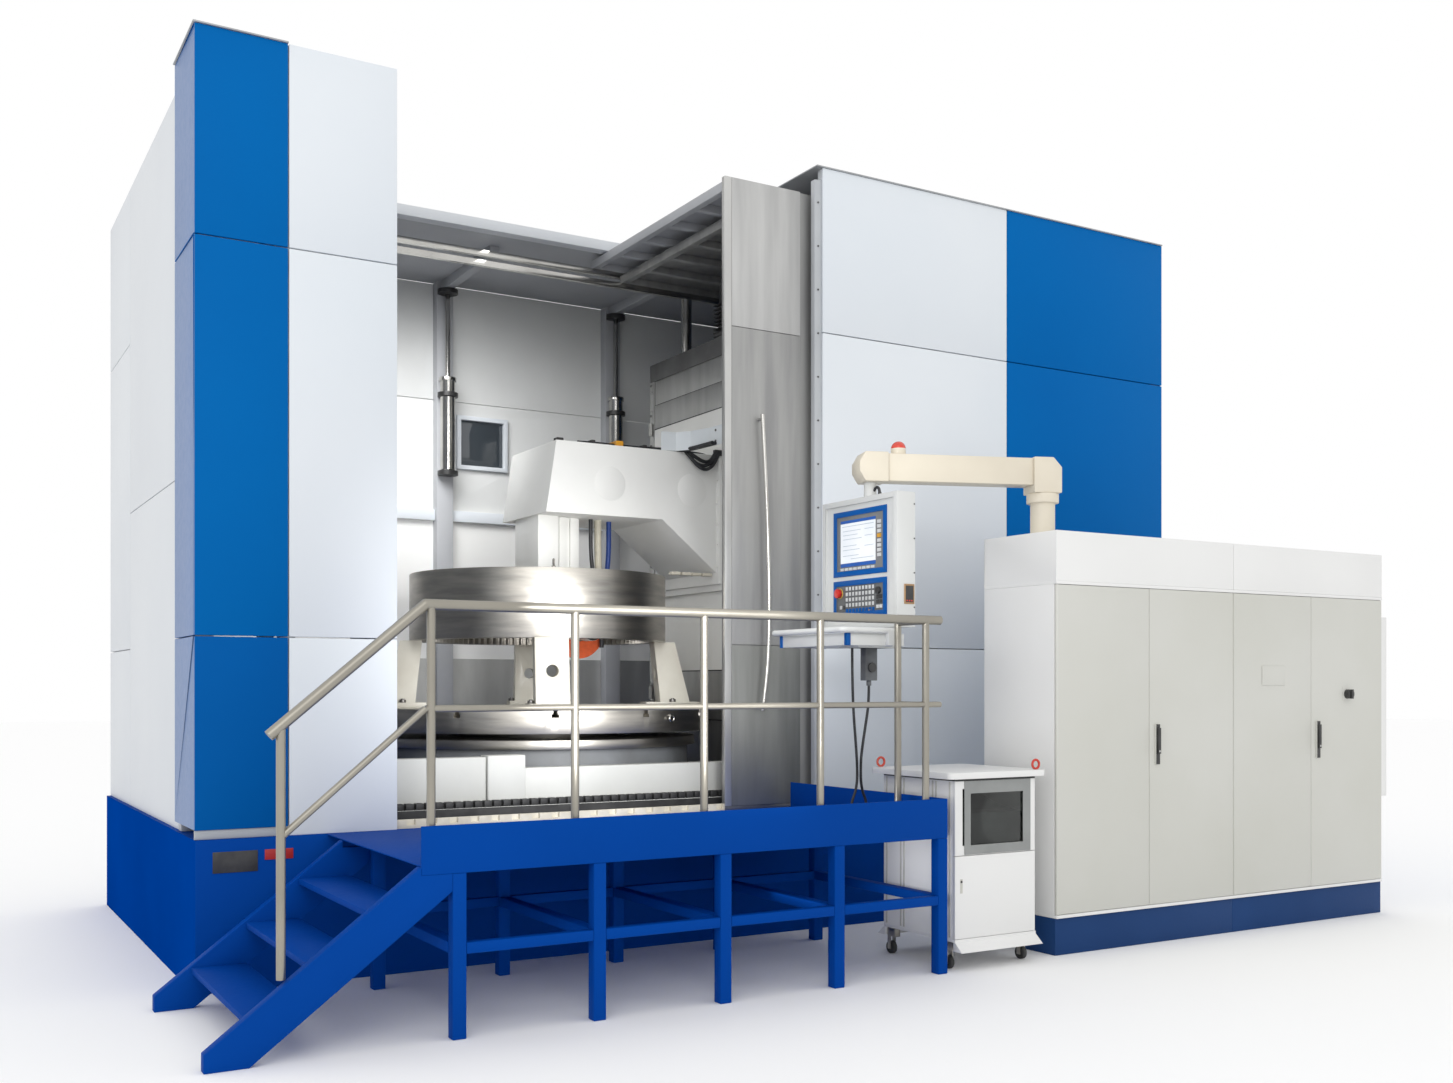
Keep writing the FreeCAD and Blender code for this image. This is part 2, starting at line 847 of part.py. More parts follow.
def grinding_head():
    box_bottom = arm_bottom - head_box_height
    side_box = box(head_box_left, head_box_right, -head_box_half_width, head_box_half_width, box_bottom,
                   arm_bottom)
    save("grinding_post", side_box)
    body = box(post_left, post_right, -post_half_width, post_half_width, post_bottom, arm_bottom)
    bore = spindle_radius + running
    for side in (-1, 1):
        low = min(side * fork_gap, side * post_half_width)
        high = max(side * fork_gap, side * post_half_width)
        body = body.fuse(box(fork_left, fork_right, low, high, fork_bottom, post_bottom))
    body = body.cut(rod(bore, (wheel_x, -post_half_width - overrun, wheel_z),
                        (wheel_x, post_half_width + overrun, wheel_z)))
    save("grinding_post", body.removeSplitter())
    strips_list = []
    for index in range(2):
        x = post_left + guard_width + index * 2 * guard_width * 1.5
        strips_list.append(box(x, x + 2 * guard_width, -post_half_width - guard_depth, -post_half_width,
                               post_bottom, arm_bottom))
    save("grinding_post", *strips_list)
    disc = rod(wheel_radius, (wheel_x, -wheel_width / 2, wheel_z), (wheel_x, wheel_width / 2, wheel_z))
    disc = disc.cut(rod(spindle_radius, (wheel_x, -wheel_width, wheel_z), (wheel_x, wheel_width, wheel_z)))
    save("grinding_wheel", disc)
    motor_front = -post_half_width - spindle_motor_length
    shaft = rod(spindle_radius, (wheel_x, motor_front + spindle_motor_length / 2, wheel_z),
                (wheel_x, post_half_width, wheel_z))
    save("wheel_spindle", shaft)
    flanges = []
    for side in (-1, 1):
        inner = side * wheel_width / 2
        outer = side * (wheel_width / 2 + flange_width)
        collar = rod(flange_radius, (wheel_x, inner, wheel_z), (wheel_x, outer, wheel_z))
        flanges.append(collar.cut(rod(spindle_radius, (wheel_x, -wheel_width, wheel_z),
                                      (wheel_x, wheel_width, wheel_z))))
    save("wheel_spindle", *flanges)
    motor = rod(spindle_motor_radius, (wheel_x, motor_front, wheel_z), (wheel_x, -post_half_width, wheel_z))
    motor = motor.cut(rod(spindle_radius + skin, (wheel_x, motor_front + spindle_motor_length / 2 - skin,
                                                  wheel_z),
                          (wheel_x, 0, wheel_z)))
    save("grinding_post", motor)
    hoses()


def hoses():
    # Coolant and air hoses hang from the arm and run down the right side of the post.
    pieces = []
    turn_z = fork_bottom + (post_bottom - fork_bottom) * 0.75
    end_x = fork_right + 2 * hose_radius
    for index, (radius, x, y) in enumerate(hose_runs):
        points = [(x, y, arm_bottom), (x, y, (arm_bottom + turn_z) / 2 + hose_bend),
                  (end_x + index * 3 * hose_radius, y, turn_z)]
        pieces.append(bent_tube("hose", radius, points))
    save("coolant_hoses", *pieces)
    manifold = box(fork_right, end_x + 8 * hose_radius, -post_half_width - hose_radius,
                   -fork_gap - hose_radius, turn_z - 3 * hose_radius, turn_z)
    nozzle = rod(nozzle_radius, (end_x + 5 * hose_radius, -post_half_width / 2, turn_z - 3 * hose_radius),
                 (end_x + 5 * hose_radius, -post_half_width / 2, wheel_z - wheel_radius * 0.6))
    save("coolant_hoses", manifold.fuse(nozzle))


def cap_fittings():
    floor = column_top + cap_height
    half = gearbox_side / 2
    gearbox = box(motor_x - half, motor_x + half, motor_y - half, motor_y + half, floor,
                  floor + gearbox_height)
    half = motor_side / 2
    motor = box(motor_x - half, motor_x + half, motor_y - half, motor_y + half, floor + gearbox_height,
                floor + gearbox_height + motor_height)
    save("column_cap", gearbox.fuse(motor))
    flange = rod(balance_flange, (balance_x, balance_y, floor),
                 (balance_x, balance_y, floor + balance_flange_height))
    tube = rod(balance_radius, (balance_x, balance_y, floor), (balance_x, balance_y, floor + balance_height))
    save("column_cap", flange.fuse(tube))


def tower_panels(left, right, bottom):
    rows = ((bottom, low_seam - seam / 2), (low_seam + seam / 2, high_seam - seam / 2),
            (high_seam + seam / 2, tower_top))
    return [box(left, right, tower_front, tower_front + panel, low, high) for low, high in rows]


def towers():
    split = seam / 2
    white = tower_panels(left_tower_split + split, left_tower_right, base_height)
    white += tower_panels(right_tower_left, right_tower_split - split, base_height)
    blue = tower_panels(left_tower_left, left_tower_split - split, base_height + tower_skirt)
    blue += tower_panels(right_tower_split + split, base_right, base_height)
    back = tower_front + panel
    side_rows = ((base_height + tower_skirt, low_seam - split), (low_seam + split, high_seam - split),
                 (high_seam + split, tower_top))
    for low, high in side_rows:
        blue.append(box(left_tower_left, left_tower_left + panel, back, tower_back, low, high))
        white.append(box(left_tower_right - panel, left_tower_right, back, tower_back, low, high))
    blue.append(box(base_right - panel, base_right, back, roof_front, base_height, tower_top))
    save("white_front_panels", *white)
    save("blue_front_panels", *blue)
    frames = []
    edges = (left_tower_left + panel, left_tower_split - post / 2, left_tower_right - panel - post)
    for x in edges:
        for y in (back, tower_back - post):
            frames.append(box(x, x + post, y, y + post, base_height, tower_top - post))
    inner_left = left_tower_left + panel
    inner_right = left_tower_right - panel
    frames.append(box(inner_left, inner_right, back, tower_back, tower_top - post, tower_top))
    for x in (right_tower_left, right_tower_split - slim_post / 2, base_right - panel - slim_post):
        frames.append(box(x, x + slim_post, back, back + slim_post, base_height, tower_top - post))
    frames.append(box(right_tower_left, base_right - panel, back, back + slim_post, tower_top - post,
                      tower_top))
    jamb = slim_post + cap_lip
    frames.append(box(right_tower_left - jamb, right_tower_left, back, back + slim_post, base_height,
                      tower_top - post))
    skirt_front = tower_front + panel / 2
    frames.append(box(left_tower_left, left_tower_split, skirt_front, back, base_height,
                      base_height + tower_skirt))
    save("tower_frames", *frames)
    caps = [box(left_tower_left - cap_lip, left_tower_split, tower_front - cap_lip, tower_back, tower_top,
                tower_top + cap_plate)]
    caps.append(box(right_tower_left - jamb, base_right, tower_front - cap_lip, roof_front, tower_top,
                    tower_top + cap_plate))
    save("tower_frames", *caps)


def walls():
    left = wall_left
    inner = wall_left + panel
    front = tower_back
    split = seam / 2
    pieces = []
    for low, high in ((base_height, wall_mid_seam - split), (wall_mid_seam + split, wall_top)):
        pieces.append(box(left, inner, front, wall_split_y - split, low, high))
    rows = ((base_height, wall_rear_low_seam - split), (wall_rear_low_seam + split,
                                                        wall_rear_high_seam - split),
            (wall_rear_high_seam + split, wall_top))
    for low, high in rows:
        pieces.append(box(left, inner, wall_split_y + split, base_back, low, high))
    pieces.append(box(inner, inner + post, wall_split_y - post / 2, wall_split_y + post / 2, base_height,
                      roof_under))
    save("side_walls", *pieces)
    right = box(base_right - panel, base_right, roof_front, base_back, base_height, roof_under)
    save("side_walls", right)
    back = back_wall_front + back_wall_panel
    middles = [x + back_post_width / 2 for x in back_post_lefts]
    edges = [inner] + middles + [base_right - panel]
    rows = ((base_height, ledge_top), (ledge_top, high_seam - split), (high_seam + split, roof_under))
    pieces = []
    for x0, x1 in zip(edges, edges[1:]):
        for low, high in rows:
            sheet = box(x0, x1, back_wall_front, back, low, high)
            if x0 < window_left < x1 and low < window_bottom < high:
                sheet = sheet.cut(box(window_left, window_right, back_wall_front - overrun, back + overrun,
                                      window_bottom, window_top))
            pieces.append(sheet)
    save("back_wall", *pieces)
    posts = []
    ledges = []
    for x in back_post_lefts:
        posts.append(box(x, x + back_post_width, back_wall_front - back_post_depth, back_wall_front,
                         base_height, roof_under))
    starts = [inner] + [x + back_post_width for x in back_post_lefts]
    ends = list(back_post_lefts) + [base_right - panel]
    for x0, x1 in zip(starts, ends):
        ledges.append(box(x0, x1, back_wall_front - ledge_depth, back_wall_front, ledge_bottom, ledge_top))
    save("back_posts", *posts)
    save("back_wall", *ledges)
    frame = box(window_left, window_right, back_wall_front - window_frame, back, window_bottom, window_top)
    edge = window_frame
    hole = box(window_left + edge, window_right - edge, back_wall_front - 2 * edge, back + overrun,
               window_bottom + edge, window_top - edge)
    save("back_wall", frame.cut(hole))
    save("back_wall", box(window_left + edge, window_right - edge, back_wall_front, back_wall_front + glass,
                             window_bottom + edge, window_top - edge))


def roof():
    save("rear_roof", box(wall_left + panel, base_right - panel, roof_front + beam_width, back_wall_front,
                          roof_under, roof_under + roof_sheet))
    beam = box(wall_left + panel, base_right - panel, roof_front, roof_front + beam_width,
               roof_under - joist_depth * 0.4,
               roof_under + roof_sheet)
    joists = [beam]
    for x in back_post_lefts:
        middle = x + back_post_width / 2
        joists.append(box(middle - joist_depth / 2, middle + joist_depth / 2,
                          front_roof_back + 2 * joist_depth,
                          back_wall_front - back_post_depth, roof_under - joist_depth, roof_under))
    save("rear_roof", *joists)
    rams = []
    for x in back_post_lefts[:2]:
        middle = x + back_post_width / 2
        y = back_wall_front - back_post_depth - ram_radius
        tube = rod(ram_radius, (middle, y, ram_bottom), (middle, y, ram_top))
        collar = rod(ram_radius + ram_collar / 3, (middle, y, ram_top - ram_collar), (middle, y, ram_top))
        stem = rod(ram_rod, (middle, y, ram_top), (middle, y, roof_under - joist_depth))
        foot = box(middle - ram_foot, middle + ram_foot, y - ram_foot, y + ram_radius, ram_bottom - ram_foot,
                   ram_bottom)
        rams.append(fused(tube, collar, stem, foot))
    save("back_posts", *rams)
    guides = []
    for back, top in ((front_roof_back, front_roof_bottom), (rear_roof_back, rear_roof_bottom)):
        guides.append(box(rail_left_end, base_right - panel, back - guide_width, back,
                          top - slide_gap - guide_height, top - slide_gap))
    save("rear_roof", *guides)


def door_leaf(name, left, front, top, roof_bottom, roof_back, recess):
    right = left + leaf_width
    back = front + leaf_thickness
    middle = front + leaf_thickness / 2
    split = seam / 3
    pieces = [box(left, right, middle, back, leaf_bottom, top)]
    rows = ((leaf_bottom, leaf_low_seam - split), (leaf_low_seam + split, leaf_high_seam - split),
            (leaf_high_seam + split, top))
    columns = [(left + leaf_edge, right)]
    if recess:
        columns = [(left + leaf_edge, leaf_recess_left), (leaf_recess_right, right)]
    for x0, x1 in columns:
        for low, high in rows:
            pieces.append(box(x0, x1, front, middle, low, high))
    pieces.append(box(left, left + leaf_edge - split, front, middle, leaf_bottom, top))
    save(name + "_leaf", *pieces)
    plate_top = roof_bottom + roof_rib + roof_plate
    sheet = box(left, right, back, roof_back, roof_bottom + roof_rib, plate_top)
    ribs = [sheet]
    pitch = (roof_back - back - roof_rib) / (roof_ribs - 1)
    for index in range(roof_ribs):
        y = back + index * pitch
        ribs.append(box(left + roof_rib, right - roof_rib, y, y + roof_rib, roof_bottom,
                        roof_bottom + roof_rib))
    for x in (left, right - roof_rib):
        ribs.append(box(x, x + roof_rib, back, roof_back, roof_bottom, roof_bottom + roof_rib))
    save(name + "_leaf", *ribs)


def sliding_door():
    rear_front = leaf_front + leaf_thickness + leaf_gap
    door_leaf("front_door", leaf_left, leaf_front, leaf_top, front_roof_bottom, front_roof_back, True)
    door_leaf("rear_door", rear_leaf_left, rear_front, rear_leaf_top, rear_roof_bottom, rear_roof_back, False)
    tracks = []
    for front in (leaf_front, rear_front):
        y = front + leaf_thickness / 2
        tracks.append(box(left_tower_right, base_right - panel, y - track_width / 2, y + track_width / 2,
                          base_height, leaf_bottom - slide_gap))
    save("base_frame", *tracks)
    y = leaf_front - handle_stand
    low = (handle_end_x, y, handle_low)
    high = (handle_end_x, y, handle_high)
    reach = handle_mid_x - handle_end_x
    bends = [low, (handle_end_x + reach * 0.75, y, handle_low + (handle_mid - handle_low) * 0.45),
             (handle_mid_x, y, handle_mid), (handle_mid_x - reach * 0.3, y,
                                             handle_mid + (handle_high - handle_mid) * 0.5),
             high]
    bar = bent_tube("door handle", handle_radius, bends)
    stands = []
    for z in (handle_low, handle_high):
        inset = 2 * handle_radius if z == handle_low else -2 * handle_radius
        stands.append(rod(handle_radius * 0.7, (handle_end_x, y, z + inset),
                          (handle_end_x, leaf_front, z + inset)))
    save("front_door_leaf", fused(bar, *stands))


def sill_and_covers():
    sill = box(left_tower_right, sill_right, sill_front, sill_back, base_height, sill_top)
    notch = sill_top - base_height
    count = int((sill_right - left_tower_right) / (2.5 * notch))
    pitch = (sill_right - left_tower_right) / count
    for index in range(count):
        x = left_tower_right + (index + 0.5) * pitch
        sill = sill.cut(box(x, x + notch, sill_front - overrun, sill_back - panel / 2,
                            base_height + notch * 0.4,
                            sill_top + overrun))
    save("base_frame", sill)
    pieces = []
    for index, (x0, x1) in enumerate(zip(bed_cover_splits, bed_cover_splits[1:])):
        setback = (index + 1) % 2 * panel
        pieces.append(box(x0, x1 - seam, bed_cover_front + setback, -bed_half_width - slide_gap,
                          base_height, base_height + bed_cover_heights[index]))
    save("bed_covers", *pieces)
    low = base_height + chain_height * 2
    tray = box(bed_cover_splits[0], bed_cover_splits[-1], chain_front, bed_cover_front, base_height, low)
    links = []
    pitch = chain_height * 1.5
    count = int((bed_cover_splits[-1] - bed_cover_splits[0]) / pitch)
    for index in range(count):
        x = bed_cover_splits[0] + index * pitch
        links.append(box(x, x + pitch * 0.8, chain_front, chain_back, low, low + chain_height))
    save("bed_covers", tray)
    save("bed_covers", *links)


def platform():
    back = base_front
    deck_low = base_height - deck_plate
    inner_front = deck_front + board_thickness
    inner_right = deck_right - board_thickness
    pieces = []
    plate_count = leg_count - 1
    edges = [deck_left] + [leg_first + leg_pitch * (index + 1) for index in range(plate_count - 1)] + [inner_right]
    for x0, x1 in zip(edges, edges[1:]):
        pieces.append(box(x0, x1 - deck_joint * 0.3, inner_front, back, deck_low, base_height))
    save("platform_deck", *pieces)
    boards = [box(deck_left, deck_right, deck_front, inner_front, board_bottom, board_top)]
    boards.append(box(inner_right, deck_right, inner_front, back, board_bottom, board_top))
    save("platform_deck", *boards)
    low = deck_low - frame_depth
    frame = []
    legs_x = [leg_first + index * leg_pitch for index in range(leg_count)]
    back_row = leg_back
    for x in legs_x:
        for y in (deck_front, back_row):
            frame.append(box(x, x + leg_width, y, y + leg_width, 0, low))
        frame.append(box(x, x + leg_width, deck_front + leg_width, back_row, brace_bottom, brace_top))
        frame.append(box(x, x + leg_width, inner_front + frame_width, back - slide_gap, low, deck_low))
    for x0, x1 in zip(legs_x, legs_x[1:]):
        for y in (deck_front, back_row):
            frame.append(box(x0 + leg_width, x1, y + slide_gap, y + frame_width, brace_bottom, brace_top))
    frame.append(box(deck_left, legs_x[-1] + leg_width, inner_front, inner_front + frame_width, low, deck_low))
    save("platform_frame", *[bar.cut(boards[0]).cut(boards[1]) for bar in frame])
    stairs()
    handrail(inner_front)


def stairs():
    top_z = (leg_first - stair_heel) * 0.76
    deck_low = base_height - deck_plate - frame_depth
    outline = [(stair_toe, 0), (stair_heel, 0), (leg_first, top_z), (leg_first, deck_low),
               (deck_left, deck_low), (deck_left, base_height - deck_plate), (stair_toe, stair_toe_height)]
    stringers = []
    for y in (deck_front, deck_front + stair_width):
        points = [(x, y, z) for x, z in outline]
        stringers.append(prism(points, (0, stringer_width, 0)))
    save("stairs", *stringers)
    treads = []
    y0 = deck_front + stringer_width
    y1 = deck_front + stair_width
    for index in range(tread_count):
        x = tread_left + index * tread_depth
        z = tread_rise * (index + 1)
        plate = box(x, x + tread_depth, y0, y1, z - tread_plate, z)
        lip = box(x, x + tread_plate, y0, y1, z - tread_lip, z - tread_plate)
        treads.append(fused(plate, lip))
    save("stairs", *treads)


def handrail(inner_front):
    posts = []
    plates = []
    xs = [post_first + index * post_pitch for index in range(post_count)]
    spots = [(x, rail_y) for x in xs] + [(xs[-1], return_y)]
    for x, y in spots:
        posts.append(rod(post_radius, (x, y, base_height), (x, y, rail_top)))
        plates.append(rod(base_plate_radius - post_radius / 2, (x, y, base_height),
                          (x, y, base_height + base_plate_height)).cut(
            rod(post_radius, (x, y, base_height - overrun), (x, y, rail_top))))
    left = xs[0] - rail_left_reach
    right = xs[-1] + rail_right_reach
    slope = (rail_top - stair_rail_end_z) / (left - stair_rail_end_x)
    foot_share = (stair_post_x - stair_toe) / (deck_left - stair_toe)
    foot = stair_toe_height + (base_height - deck_plate - stair_toe_height) * foot_share + post_radius
    stair_top = stair_rail_end_z + slope * (stair_post_x - stair_rail_end_x)
    bend = Part.makeSphere(rail_radius, Vector(left, rail_y, rail_top))
    top_rail = fused(rod(rail_radius, (left, rail_y, rail_top), (right, rail_y, rail_top)), bend)
    slanted = rod(rail_radius, (left, rail_y, rail_top), (stair_rail_end_x, rail_y,
                                                          stair_rail_end_z)).cut(top_rail)
    return_rail = rod(rail_radius, (xs[-1], rail_y, rail_top),
                      (xs[-1], return_y - post_radius, rail_top)).cut(top_rail)
    posts = [post.cut(top_rail).cut(return_rail) for post in posts]
    middles = []
    stops = [left] + xs + [right]
    for x0, x1 in zip(stops, stops[1:]):
        middles.append(rod(mid_rail_radius, (x0, rail_y, rail_mid), (x1, rail_y, rail_mid)))
    middles.append(rod(mid_rail_radius, (xs[-1], rail_y, rail_mid), (xs[-1], return_y, rail_mid)))
    for post in posts:
        middles = [rail.cut(post) for rail in middles]
    low_rail = rod(mid_rail_radius, (left, rail_y, rail_mid), (stair_post_x, rail_y,
                                                               stair_mid_end_z)).cut(middles[0])
    stair_post = rod(post_radius, (stair_post_x, rail_y, foot),
                     (stair_post_x, rail_y, stair_top)).cut(slanted)
    low_rail = low_rail.cut(stair_post)
    pieces = posts + middles + [top_rail, slanted, return_rail, low_rail, stair_post]
    save("handrail", *pieces)
    save("handrail", *plates)


def cabinet():
    right = cabinet_left + cabinet_doors * cabinet_door_width
    wall = cabinet_wall
    body_front = cabinet_front + door_thickness + slide_gap
    middle = (cabinet_left + right) / 2
    shell = []
    for x in (cabinet_left, middle - wall / 2, right - wall):
        shell.append(box(x, x + wall, body_front, cabinet_back, plinth_height + wall,
                         cabinet_door_top - wall))
    shell.append(box(cabinet_left + wall, middle - wall / 2, cabinet_back - wall, cabinet_back,
                     plinth_height + wall, cabinet_door_top - wall))
    shell.append(box(middle + wall / 2, right - wall, cabinet_back - wall, cabinet_back,
                     plinth_height + wall, cabinet_door_top - wall))
    shell.append(box(cabinet_left, right, cabinet_front, cabinet_back, plinth_height, plinth_height + wall))
    shell.append(box(cabinet_left, right, cabinet_front, cabinet_back, cabinet_door_top - wall,
                     cabinet_door_top))
    save("cabinet_carcass", *shell)
    plinths = []
    covers_list = []
    for x0, x1 in ((cabinet_left, middle), (middle, right)):
        plinths.append(box(x0 + slide_gap, x1 - slide_gap, cabinet_front + plinth_inset,
                           cabinet_back - plinth_inset,
                           0, plinth_height))
        covers_list.append(box(x0, x1 - seam / 2, cabinet_front, cabinet_back, cabinet_door_top, cabinet_top))
    save("cabinet_carcass", *plinths)
    save("cabinet_carcass", *covers_list)
    boards = []
    drives = []
    for x0, x1 in ((cabinet_left, middle), (middle, right)):
        edge = wall * 3
        y = cabinet_back - board_gap
        boards.append(box(x0 + edge, x1 - edge, y, y + board_panel, plinth_height + wall,
                          cabinet_door_top - wall))
        pitch = (x1 - x0 - 2 * edge - drive_width) / drive_count
        for level in (0.3, 0.62):
            z = plinth_height + (cabinet_door_top - plinth_height) * level
            for index in range(drive_count):
                x = x0 + edge + drive_width / 2 + index * pitch
                drives.append(box(x, x + drive_width, y - drive_depth, y, z, z + drive_height))
    save("cabinet_carcass", *boards)
    save("cabinet_carcass", *drives)
    half = cooler_width / 2
    y = (cabinet_front + cabinet_back) / 2
    save("cabinet_carcass", box(right, right + cooler_depth, y - half, y + half, cooler_bottom, cooler_top))
    cabinet_doors_and_locks()


def cabinet_doors_and_locks():
    low = plinth_height + cabinet_wall + door_gap
    high = cabinet_door_top - cabinet_wall - door_gap
    half = door_thickness / 2
    y = cabinet_front + half
    pins = []
    for index in range(cabinet_doors):
        hinge_left = index % 2 == 0
        x0 = cabinet_left + index * cabinet_door_width + door_gap / 2
        x1 = x0 + cabinet_door_width - door_gap
        pivot = x0 + half if hinge_left else x1 - half
        free = x1 if hinge_left else x0
        leaf = box(min(pivot, free), max(pivot, free), cabinet_front, cabinet_front + door_thickness, low,
                   high)
        leaf = leaf.fuse(rod(half, (pivot, y, low), (pivot, y, high))).removeSplitter()
        for z0, z1 in ((low - overrun, low + hinge_length), (high - hinge_length, high + overrun)):
            leaf = leaf.cut(rod(hinge_radius + running, (pivot, y, z0), (pivot, y, z1)))
        pins.append(rod(hinge_radius, (pivot, y, low - door_gap), (pivot, y, low + hinge_length - slide_gap)))
        pins.append(rod(hinge_radius, (pivot, y, high - hinge_length + slide_gap),
                        (pivot, y, high + door_gap)))
        if not hinge_left:
            x = x0 + lock_inset
            z0 = lock_height - lock_length / 2
            z1 = lock_height + lock_length / 2
            front = cabinet_front - lock_depth
            tray = box(x - lock_width / 2, x + lock_width / 2, front, cabinet_front, z0, z1)
            shaft_z = z1 - lock_width
            tray = tray.cut(rod(hinge_radius + running, (x, front - overrun, shaft_z),
                                (x, cabinet_front, shaft_z)))
            save("cabinet_door_%d" % (index + 1), tray)
            lever_half = lock_width / 3
            lever = box(x - lever_half, x + lever_half, front - lock_depth, front - slide_gap,
                        shaft_z - handle_lever, shaft_z + lever_half)
            shaft = rod(hinge_radius, (x, front - slide_gap, shaft_z),
                        (x, cabinet_front - slide_gap, shaft_z))
            save("lock_lever_%d" % (index + 1), fused(lever, shaft))
        save("cabinet_door_%d" % (index + 1), leaf)
    save("cabinet_carcass", *pins)
    x = cabinet_left + cabinet_doors * cabinet_door_width - switch_x_from_hinge
    half = switch_plate / 2
    front = cabinet_front - skin
    plate = box(x - half, x + half, front, cabinet_front, switch_height - half, switch_height + half)
    hole = rod(hinge_radius + running, (x, front - overrun, switch_height), (x, cabinet_front, switch_height))
    save("cabinet_door_4", plate.cut(hole))
    knob = rod(switch_radius, (x, front - switch_depth, switch_height), (x, front - slide_gap, switch_height))
    wing = box(x - hinge_radius * 2, x + hinge_radius * 2, front - switch_depth * 1.3, front - switch_depth,
               switch_height - switch_radius, switch_height + switch_radius)
    shaft = rod(hinge_radius, (x, front - slide_gap, switch_height),
                (x, cabinet_front - slide_gap, switch_height))
    save("main_switch", fused(knob, wing, shaft))


def pendant_support():
    top = column_tube_top
    tube = rod(column_tube, (pendant_x, pendant_y, cabinet_top), (pendant_x, pendant_y, top))
    collar = rod(collar_radius, (pendant_x, pendant_y, top), (pendant_x, pendant_y, top + collar_height))
    save("pendant_post", fused(tube, collar))
    low = top + collar_height + slide_gap
    angle = math.degrees(math.atan2(neck_y - pendant_y, neck_x - pendant_x))
    length = math.hypot(neck_x - pendant_x, neck_y - pendant_y)
    half = beam_half_width
    cut = elbow_half * 0.6
    elbow_top = [(pendant_x - elbow_half, -elbow_half, low), (pendant_x + elbow_half, -elbow_half, low),
                 (pendant_x + elbow_half, -elbow_half, beam_high - cut),
                 (pendant_x + elbow_half - cut, -elbow_half, beam_high + skin * 2),
                 (pendant_x - elbow_half, -elbow_half, beam_high + skin * 2)]
    near = prism(elbow_top, (0, 2 * elbow_half, 0))
    near.translate(Vector(0, pendant_y, 0))
    beam = box(pendant_x + elbow_half, pendant_x + length - elbow_half, pendant_y - half, pendant_y + half,
               beam_low, beam_high)
    far_x = pendant_x + length
    far_top = [(far_x - elbow_half, 0, beam_low - skin * 2), (far_x + elbow_half * 0.6, 0,
                                                              beam_low - skin * 2),
               (far_x + elbow_half, 0, beam_low + cut), (far_x + elbow_half, 0, beam_high - cut),
               (far_x + elbow_half * 0.6, 0, beam_high + skin * 2), (far_x - elbow_half, 0,
                                                                     beam_high + skin * 2)]
    far = prism(far_top, (0, 2 * elbow_half, 0))
    far.translate(Vector(0, pendant_y - elbow_half, 0))
    near = turned(near, math.degrees(math.pi), pendant_x, pendant_y)
    far = far.cut(rod(neck_radius * 0.6 + running, (far_x, pendant_y, beam_low - overrun * 2),
                      (far_x, pendant_y, beam_low + cut)))
    arm = [turned(piece, angle, pendant_x, pendant_y) for piece in (near, beam, far)]
    save("pendant_arm", *arm)
    share = 0.84
    x = pendant_x + (neck_x - pendant_x) * share
    y = pendant_y + (neck_y - pendant_y) * share
    body = rod(beacon_radius, (x, y, beam_high), (x, y, beam_high + beacon_height - beacon_radius / 2))
    body = body.fuse(Part.makeSphere(beacon_radius, Vector(x, y,
                                                           beam_high + beacon_height - beacon_radius / 2)))
    body = body.common(box(x - half, x + half, y - half, y + half, beam_high, beam_high + 2 * beacon_height))
    save("pendant_arm", body)


def framed_face(low, high, half, step):
    # A blue raised frame on the panel's face, with a dark board sunk in it.
    face = head_front - step
    frame = box(face, head_front, neck_y - half, neck_y + half, low, high)
    edge = head_frame
    hole = box(face - overrun, head_front + overrun, neck_y - half + edge, neck_y + half - edge, low + edge,
               high - edge)
    save("control_panel", frame.cut(hole))


